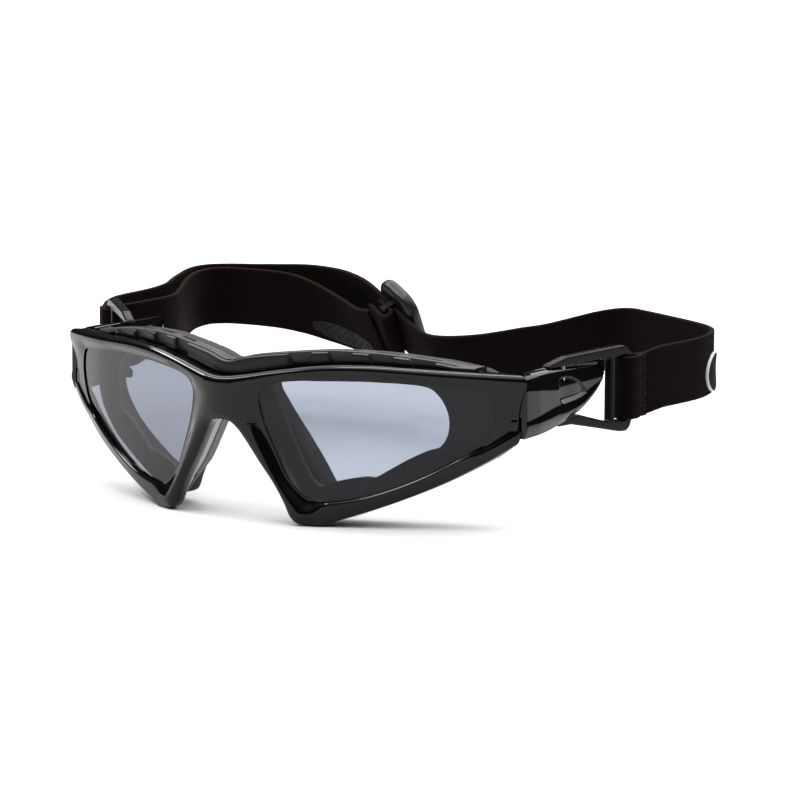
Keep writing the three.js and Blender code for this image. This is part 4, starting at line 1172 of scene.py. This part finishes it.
# ------------------------------------------------------------------ webbing
class Curve3:
    """three.js's centripetal Catmull-Rom through 3-D rows, with the lean of each row."""

    def __init__(self, rows):
        self.r = np.array(rows, float)
        self.p = self.r[:, :3]
        self.N = len(rows) - 1

    def point(self, u):
        u = min(max(u, 0), self.N)
        i = min(int(math.floor(u)), self.N - 1)
        w = u - i
        P = self.p
        p1, p2 = P[i], P[i + 1]
        p0 = P[i - 1] if i > 0 else 2 * P[0] - P[1]
        p3 = P[i + 2] if i + 2 <= self.N else 2 * P[self.N] - P[self.N - 1]
        d0, d1, d2 = (((b - a) @ (b - a)) ** 0.25 for a, b in ((p0, p1), (p1, p2), (p2, p3)))
        t1 = ((p1 - p0) / d0 - (p2 - p0) / (d0 + d1) + (p2 - p1) / d1) * d1
        t2 = ((p2 - p1) / d1 - (p3 - p1) / (d1 + d2) + (p3 - p2) / d2) * d1
        return p1 + w * (t1 + w * ((-3 * p1 + 3 * p2 - 2 * t1 - t2) + w * (2 * p1 - 2 * p2 + t1 + t2)))

    def frame(self, u):
        h = 1e-3
        t = self.point(min(u + h, self.N)) - self.point(max(u - h, 0))
        t /= np.linalg.norm(t)
        i = min(int(math.floor(u)), self.N - 1)
        f = u - i
        lean = math.radians(self.r[i, 3] * (1 - f) + self.r[i + 1, 3] * f)
        w = np.array([0, 0, 1.0]) - t * t[2]
        w /= np.linalg.norm(w)
        n = np.cross(t, w)
        wl = w * math.cos(lean) - n * math.sin(lean)
        return self.point(u), t, wl, np.cross(t, wl)


HANG = [0, 0, -1.6, -4.4, -5.2, -4.4, -2.4, -0.8]
MAIN_C, INNER_C = Curve3(MAIN), Curve3([[r[0], r[1], r[2] + (HANG[i] if i < len(HANG) else 0), r[3]] for i, r in enumerate(INNER)])


def web_section(n0=-STRAP_T / 2, n1=STRAP_T / 2, w0=0.0, w1=STRAP_W, ribs=24, amp=0.02, rad=0.42):
    """Closed section of ribbed webbing as (n, w) points."""
    pts = []
    flat0, flat1 = w0 + rad, w1 - rad
    m = ribs * 4
    for side in (0, 1):
        a, b = (flat0, flat1) if side == 0 else (flat1, flat0)
        n, sgn = (n1, 1) if side == 0 else (n0, -1)
        for i in range(m + 1):
            w = a + (b - a) * i / m
            pts.append((n - sgn * amp * (0.5 - 0.5 * math.cos(2 * math.pi * (w - w0) / ((w1 - w0) / ribs))), w))
        cw = flat1 if side == 0 else flat0
        for j in range(1, 6):
            ang = math.pi * j / 6
            half = (n1 - n0) / 2
            mid = (n1 + n0) / 2
            pts.append((mid + sgn * half * math.cos(ang), cw + (1 if side == 0 else -1) * rad * math.sin(ang)))
    return pts


def web(name, curve, u0, u1, step=1.1, section=None, mat=None, trim=(0.0, 0.0), lead=(0.0, 0.0)):
    sec = section or web_section()
    us = [u0]
    while us[-1] < u1 - 1e-9:
        L = np.linalg.norm(curve.point(min(us[-1] + 0.05, curve.N)) - curve.point(us[-1])) / 0.05
        us.append(us[-1] + step / max(L, 0.5))
    us = np.array(us)
    us = u0 + (us - u0) * (u1 - u0) / (us[-1] - u0)
    # arc length from the curve's start, so the weave runs on between pieces
    s0 = 0.0
    prev = curve.point(0)
    for v in np.arange(0.05, u0 + 1e-9, 0.05):
        q = curve.point(v)
        s0 += np.linalg.norm(q - prev)
        prev = q
    if trim[0]:
        L = np.linalg.norm(curve.point(u0 + 0.05) - curve.point(u0)) / 0.05
        us[0] = u0 + trim[0] / L
    if trim[1]:
        L = np.linalg.norm(curve.point(u1) - curve.point(u1 - 0.05)) / 0.05
        us[-1] = u1 - trim[1] / L
    V, UV, F = [], [], []
    s, last = s0, None
    for u in us:
        p, t, w, n = curve.frame(u)
        s += 0 if last is None else np.linalg.norm(p - last)
        last = p
        for dn, dw in sec:
            V.append(p + n * dn - w * dw)
            UV.append((s / 10, dw / 10))
    m = len(sec)
    for end, L in ((0, lead[0]), (len(us) - 1, lead[1])):
        if L:
            p, t, w, n = curve.frame(us[end])
            for c in range(m):
                V[end * m + c] = V[end * m + c] + t * (-L if end == 0 else L)
                UV[end * m + c] = (UV[end * m + c][0] + (-L if end == 0 else L) / 10, UV[end * m + c][1])
    for k in range(len(us) - 1):
        for c in range(m):
            F.append((k * m + c, k * m + (c + 1) % m, (k + 1) * m + (c + 1) % m, (k + 1) * m + c))
    F.append(tuple(range(m))[::-1])
    F.append(tuple((len(us) - 1) * m + c for c in range(m)))
    return put(name, V, F, mat or WEB_MAT, 48, UV)


def mm(p):
    return tuple(c * MM for c in p[:3])


side_left = web("webbing_side_left", MAIN_C, 0, 3, lead=(2.6, 0))
corner_left = web("webbing_corner_left", MAIN_C, 3, 13)
rear = web("webbing_rear", MAIN_C, 13, 32)
corner_right = web("webbing_corner_right", MAIN_C, 32, 41)
side_right = web("webbing_side_right", MAIN_C, 41, 46, lead=(0, 1.6))
ret_rear = web("webbing_return_rear", INNER_C, 2.0, 8)
ret_corner = web("webbing_return_corner", INNER_C, 8, 15)
ret_side = web("webbing_return_side", INNER_C, 15, 20, lead=(0, 1.6))
mm(MAIN[0])
mm(MAIN[3])
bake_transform(side_left)
mm(MAIN[3])
mm(MAIN[13])
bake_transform(corner_left)
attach(rear, "front")
mm(MAIN[32])
mm(MAIN[41])
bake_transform(corner_right)
mm(MAIN[41])
mm(MAIN[46])
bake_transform(side_right)
mm(INNER[2])
mm(INNER[8])
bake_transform(ret_rear)
mm(INNER[8])
mm(INNER[15])
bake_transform(ret_corner)
mm(INNER[15])
mm(INNER[20])
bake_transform(ret_side)
for o, node in ((side_left, "strap_side_left"), (corner_left, "strap_corner_left"), (rear, "strap_rear"), (corner_right, "strap_corner_right"),
                (side_right, "strap_side_right"), (ret_rear, "strap_return_rear"), (ret_corner, "strap_return_corner"), (ret_side, "strap_return_side")):
    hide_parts(node)


# folded ends round the loops' rear bars, drawn as (w, v) paths of the webbing's middle line
def fold(name, path, side, turn, z_top, step=0.35):
    pts = spline(path, step)
    T = np.gradient(pts, axis=0)
    T /= np.linalg.norm(T, axis=1)[:, None]
    at = placer(side, turn)
    sec = web_section()
    V, UV, F = [], [], []
    s = 0
    for i, (p, t) in enumerate(zip(pts, T)):
        s += np.linalg.norm(p - pts[i - 1]) if i else 0
        n = np.array([t[1], -t[0]])
        for dn, dw in sec:
            q = p + n * dn
            V.append(at(q[1], z_top - dw, q[0]))
            UV.append((s / 10, dw / 10))
    m = len(sec)
    for k in range(len(pts) - 1):
        for c in range(m):
            F.append((k * m + c, k * m + (c + 1) % m, (k + 1) * m + (c + 1) % m, (k + 1) * m + c))
    F.append(tuple(range(m))[::-1])
    F.append(tuple((len(pts) - 1) * m + c for c in range(m)))
    return put(name, V, F, WEB_MAT, 48, UV)


fold_left = fold("webbing_fold_left", [[0.72, 33.2], [0.85, 31.0], [1.9, 28.8], [2.3, 27.2], [2.3, 25.4], [1.7, 24.4], [0, 24.1], [-1.7, 24.4], [-2.3, 25.4], [-2.3, 27.2], [-1.9, 28.8], [-0.85, 31.0], [-0.72, 33.2]], 1, TURN_LEFT, 13.4)
fold_right = fold("webbing_fold_right", [[2.3, 29.8], [2.3, 27.2], [2.3, 25.4], [1.7, 24.4], [0, 24.1], [-1.7, 24.4], [-2.3, 25.4], [-2.3, 27.2], [-2.3, 29.8]], -1, TURN_RIGHT, 13.4)
for o, L in ((fold_left, "left"), (fold_right, "right")):
    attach(o, f"loop_{L}")
    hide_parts(f"strap_fold_{L}")


# stitches: short thread bars across the folds
def stitches(name, points, normal, along, length, r=0.16, body=None, gap=0.35):
    """Small rounded thread bars at points; normal and along are unit vectors (mm space)."""
    V, F = [], []
    normal, along = np.array(normal, float), np.array(along, float)
    normal /= np.linalg.norm(normal)
    along /= np.linalg.norm(along)
    across = np.cross(normal, along)
    for p in points:
        p = np.array(p, float)
        b = len(V)
        prof = [(-0.5, 0.0), (-0.42, 0.75), (-0.2, 1.0), (0.2, 1.0), (0.42, 0.75), (0.5, 0.0)]
        for a, k in prof:
            for j in range(8):
                th = 2 * math.pi * j / 8
                V.append(p + along * a * length + across * r * k * math.cos(th) + normal * (r * k * math.sin(th) - (0.12 if abs(a) > 0.4 else 0)))
        for i in range(len(prof) - 1):
            for j in range(8):
                F.append((b + i * 8 + j, b + i * 8 + (j + 1) % 8, b + (i + 1) * 8 + (j + 1) % 8, b + (i + 1) * 8 + j))
    o = put(name, V, F, THREAD_MAT, 60)
    finish_mesh(o, 60, weld=0.002)
    return o


at = placer(1, TURN_LEFT)
nl = np.array(at(0, 0, 1)) - np.array(at(0, 0, 0))
for k, (v, w) in enumerate(((31.9, 1.42),)):
    for sgn, tag in ((1, "out"), (-1, "in")):
        pts = [at(v + 0.35 * (i % 2), z, sgn * w) for i, z in enumerate(np.arange(-2.4, 13.0, 1.05))]
        o = stitches(f"fold_stitch_{tag}", pts, nl * sgn, (0, 0, 1), 0.85)
        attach(o, "loop_left")

# ------------------------------------------------------------------ badge and grip patch


def badge_mesh():
    """A plain soft disc sewn on the webbing, with a raised rim."""
    u0, u1, w0, w1 = 4.6, 7.2, 5.4, 16.0
    umid, wmid = (u0 + u1) / 2, (w0 + w1) / 2
    n_a = 64
    rings = [(1.0, 0.66), (1.0, 1.2), (0.985, 1.34), (0.96, 1.38), (0.935, 1.34), (0.925, 1.2), (0.88, 1.16), (0.6, 1.18), (0.4, 1.2), (0.2, 1.21)]
    V, F = [], []
    for r, nn in rings:
        for k in range(n_a):
            a = 2 * math.pi * k / n_a
            u = umid + (u1 - u0) / 2 * r * math.cos(a)
            p, t, w, n = MAIN_C.frame(u)
            V.append(p + n * nn - w * (wmid + (w1 - w0) / 2 * r * math.sin(a)))
    p, t, w, n = MAIN_C.frame(umid)
    V.append(p + n * 1.21 - w * wmid)
    for i in range(len(rings) - 1):
        for k in range(n_a):
            F.append((i * n_a + k, i * n_a + (k + 1) % n_a, (i + 1) * n_a + (k + 1) % n_a, (i + 1) * n_a + k))
    for k in range(n_a):
        F.append(((len(rings) - 1) * n_a + k, (len(rings) - 1) * n_a + (k + 1) % n_a, len(V) - 1))
    F.append(tuple(range(n_a))[::-1])
    o = put("badge_disc", V, F, BADGE_MAT, 40)
    o.data.materials.append(RING_MAT)
    for p in o.data.polygons:
        if all(v // n_a in (0, 1, 2, 3, 4) for v in p.vertices) and len(p.vertices) == 4:
            p.material_index = 1
    return o


badge = badge_mesh()
mm(MAIN[3])
mm(MAIN[13])
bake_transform(badge)
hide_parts("strap_badge")


def grip_mesh():
    """Cross-hatched silicone printed on the return layer's inner face."""
    V, F = [], []
    u0, u1 = 2.9, 5.5
    nu, nw = 110, 36

    def span(i):
        t = 2 * i / nu - 1
        half = 2.75 * math.sqrt(max(0.004, 1 - t * t)) ** 0.8
        return 12.6 - half, 12.6 + half

    for i in range(nu + 1):
        u = u0 + (u1 - u0) * i / nu
        p, t, w, n = INNER_C.frame(u)
        s = i / nu * 20
        w0, w1 = span(i)
        for j in range(nw + 1):
            ww = w0 + (w1 - w0) * j / nw
            edge = min(i, nu - i, j, nw - j)
            hatch = max(math.cos(math.pi * (s + ww) / 1.25), math.cos(math.pi * (s - ww) / 1.25))
            h = -0.78 - 0.2 * max(0, (hatch - 0.25) / 0.75) if edge > 0 else -0.68
            V.append(p + n * h - w * ww)
    m = nw + 1
    top = len(V)
    for i in range(nu + 1):
        u = u0 + (u1 - u0) * i / nu
        p, t, w, n = INNER_C.frame(u)
        for ww in span(i):
            V.append(p - n * 0.62 - w * ww)
    for i in range(nu):
        for j in range(nw):
            F.append((i * m + j, i * m + j + 1, (i + 1) * m + j + 1, (i + 1) * m + j))
        a = top + i * 2
        F.append((i * m, (i + 1) * m, a + 2, a))
        F.append((i * m + nw, a + 1, a + 3, (i + 1) * m + nw))
        F.append((a, a + 2, a + 3, a + 1))
    F.append((top, top + 1) + tuple(range(nw, -1, -1)))
    F.append(tuple(nu * m + j for j in range(nw + 1)) + (top + nu * 2 + 1, top + nu * 2))
    return put("grip_hatch", V, F, GRIP_MAT, 60)


grip = grip_mesh()
mm(INNER[2])
mm(INNER[8])
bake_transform(grip)
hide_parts("grip_patch")

# ------------------------------------------------------------------ slider and the sewn end round its bar
A, B = np.array([-31.8, 140.0, 4.1]), np.array([-55.7, 148.9, 15.0])
st = (B - A) / np.linalg.norm(B - A)
w_0 = np.array([0, 0, 1.0]) - st * st[2]
w_0 /= np.linalg.norm(w_0)
n_0 = np.cross(st, w_0)
sw = w_0 * math.cos(math.radians(30)) - n_0 * math.sin(math.radians(30))
sn = np.cross(st, sw)
sc = np.array([-43.8, 144.35, 9.75]) - sw * STRAP_W / 2


def rbox(a, b, r, seg=6):
    pts = []
    for cx, cy, s in ((a - r, b - r, 0), (-a + r, b - r, 1), (-a + r, -b + r, 2), (a - r, -b + r, 3)):
        for i in range(seg + 1):
            q = math.pi / 2 * (s + i / seg)
            pts.append((cx + r * math.cos(q), cy + r * math.sin(q)))
    return pts


def slider_at(a, b, n):
    return tuple(sc + st * a + sw * b + sn * n)


def dome(a, b, n):
    q = max(0.0, 1 - (a / 8.8) ** 2) * max(0.0, 1 - (b / 13.7) ** 2)
    return slider_at(a, b, 2.25 + n + (1.25 if n > 0 else 0.1) * math.sqrt(q))


sl_cuts = [((0, y, 0), (0, 1, 0)) for y in np.arange(-11.6, 12, 0.9)] + [((x, 0, 0), (1, 0, 0)) for x in np.arange(-7.2, 7.5, 0.9)]
slider_body = plate("slider_frame", rbox(8.4, 13.0, 6.0, 12), [], 3.2, 1.45, dome, SLIDER_MAT, 5, sl_cuts)
# the bar and posts under the slider's dome use the near-black painted-shade material
bar = plate("slider_bar", rbox(1.5, 9.0, 0.6, 4), [], 1.2, 0.35, lambda a, b, n: slider_at(a, b, -3.1 + n), VENT_SHADE_MAT, 3)
posts = [plate("slider_post", rbox(1.0, 0.42, 0.3, 4), [], 5.2, 0.2, lambda a, b, n, k=k: slider_at(a, b + k * 8.72, -0.8 + n), VENT_SHADE_MAT, 3) for k in (1, -1)]
slider = join([slider_body], "slider_moulded")
under = join([bar, *posts], "slider_bar_moulded")
for o in (slider, under):
    finish_mesh(o, 42)
    weighted(o)
    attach(o, "slider")
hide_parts("strap_slider")


def wrap_mesh():
    path = spline([[4.5, -4.68], [0.5, -4.7], [-1.9, -4.68], [-2.75, -4.1], [-2.85, -3.1], [-2.7, -2.1], [-1.9, -1.62], [0.5, -1.58], [3.9, -1.58]], 0.3)
    T = np.gradient(path, axis=0)
    T /= np.linalg.norm(T, axis=1)[:, None]
    sec = web_section(-0.62, 0.62, -0.6, 16.7)
    V, UV, F = [], [], []
    s = 0
    for i, (p, t) in enumerate(zip(path, T)):
        s += np.linalg.norm(p - path[i - 1]) if i else 0
        n = np.array([t[1], -t[0]])
        for dn, dw in sec:
            q = p + n * dn
            V.append(slider_at(q[0], 8.25 - dw, q[1]))
            UV.append((s / 10, dw / 10))
    m = len(sec)
    for k in range(len(path) - 1):
        for c in range(m):
            F.append((k * m + c, k * m + (c + 1) % m, (k + 1) * m + (c + 1) % m, (k + 1) * m + c))
    F.append(tuple(range(m))[::-1])
    F.append(tuple((len(path) - 1) * m + c for c in range(m)))
    return put("webbing_wrap", V, F, WEB_MAT, 48, UV)


wrap = wrap_mesh()
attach(wrap, "slider")
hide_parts("strap_wrap")
pts = [slider_at(3.4, b, -5.35) for b in np.arange(-7.4, 7.5, 1.05)]
o = stitches("wrap_stitch", pts, -sn, sw, 0.85)
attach(o, "slider")

# ------------------------------------------------------------------ floor, light, camera
FLOOR_Z = CAD_BOX[0][2] - 0.0002
fl = Mat("floor")
fl.set(Base_Color=fl.mix(fl.noise(3, 2), (0.45, 0.45, 0.45), (0.47, 0.47, 0.47)), Roughness=0.75, Specular_IOR_Level=0.1)
me = bpy.data.meshes.new("floor")
me.from_pydata([(-6, -6, FLOOR_Z), (6, -6, FLOOR_Z), (6, 6, FLOOR_Z), (-6, 6, FLOOR_Z)], [], [(0, 1, 2, 3)])
me.materials.append(fl.m)
floor = bpy.data.objects.new("floor", me)
bpy.context.scene.collection.objects.link(floor)

world = bpy.data.worlds.new("studio")
world.use_nodes = True
wt = world.node_tree
bg = wt.nodes["Background"]
bg.inputs["Strength"].default_value = 1.0
wc = wt.nodes.new("ShaderNodeTexCoord")
ws = wt.nodes.new("ShaderNodeSeparateXYZ")
wr = wt.nodes.new("ShaderNodeValToRGB")
wt.links.new(wc.outputs["Generated"], ws.inputs[0])
wt.links.new(ws.outputs["Z"], wr.inputs[0])
wt.links.new(wr.outputs[0], bg.inputs["Color"])
el = wr.color_ramp.elements
el[0].position, el[0].color = 0.0, (0.05, 0.05, 0.052, 1)
el[1].position, el[1].color = 1.0, (0.6, 0.6, 0.62, 1)
for pos, v in ((0.06, 0.03), (0.32, 0.04), (0.5, 0.22), (0.7, 0.52)):
    e = el.new(pos)
    e.color = (v, v, v * 1.03, 1)
bpy.context.scene.world = world


def lamp(name, kind, at, look, power, size=1.0, size_y=None, color=(1, 1, 1)):
    d = bpy.data.lights.new(name, kind)
    if kind == "AREA":
        d.shape = "RECTANGLE"
        d.size, d.size_y = size, size_y or size
    else:
        d.angle = math.radians(size)
    d.energy = power
    d.color = color
    o = bpy.data.objects.new(name, d)
    o.location = at
    o.rotation_mode = "QUATERNION"
    o.rotation_quaternion = (Vector(look) - Vector(at)).to_track_quat("-Z", "Y")
    bpy.context.scene.collection.objects.link(o)
    return o


lamp("sky_soft", "SUN", (0.1, 0.25, 1.0), (0, 0, 0), 6.4, 110)
lamp("strip_overhead", "AREA", (-0.05, 0.05, 0.95), (0, 0.05, 0), 5.5, 1.0, 0.07)
lamp("strip_front_left", "AREA", (-0.45, -0.42, 0.85), (0, 0.03, 0), 5.5, 0.9, 0.08)
lamp("strip_back_left", "AREA", (-0.97, -0.06, 0.75), (0, 0.03, 0), 7.5, 0.42, 0.22)

az, el, roll = math.radians(34), math.radians(9), math.radians(0.363)
right = np.array([math.cos(az), math.sin(az), 0])
back = np.array([math.sin(az) * math.cos(el), -math.cos(az) * math.cos(el), math.sin(el)])
up = np.cross(back, right)
c, s = math.cos(roll), math.sin(roll)
R = np.array([[c, s, 0], [-s, c, 0], [0, 0, 1]]) @ np.stack([right, up, back])
loc = R.T @ np.array([46.83, 5.076, 1260.0]) * MM
cam_data = bpy.data.cameras.new("camera")
cam_data.sensor_width = 36
cam_data.lens = 36 * 4974.36 / 800
cam_data.clip_start, cam_data.clip_end = 0.01, 50
cam = bpy.data.objects.new("camera", cam_data)
bpy.context.scene.collection.objects.link(cam)
M = Matrix([list(R.T[0]) + [loc[0]], list(R.T[1]) + [loc[1]], list(R.T[2]) + [loc[2]], [0, 0, 0, 1]])
cam.matrix_world = M
bpy.context.scene.camera = cam
bpy.context.scene.view_settings.view_transform = "Standard"
bpy.context.scene.view_settings.look = "None"

bpy.context.view_layer.update()
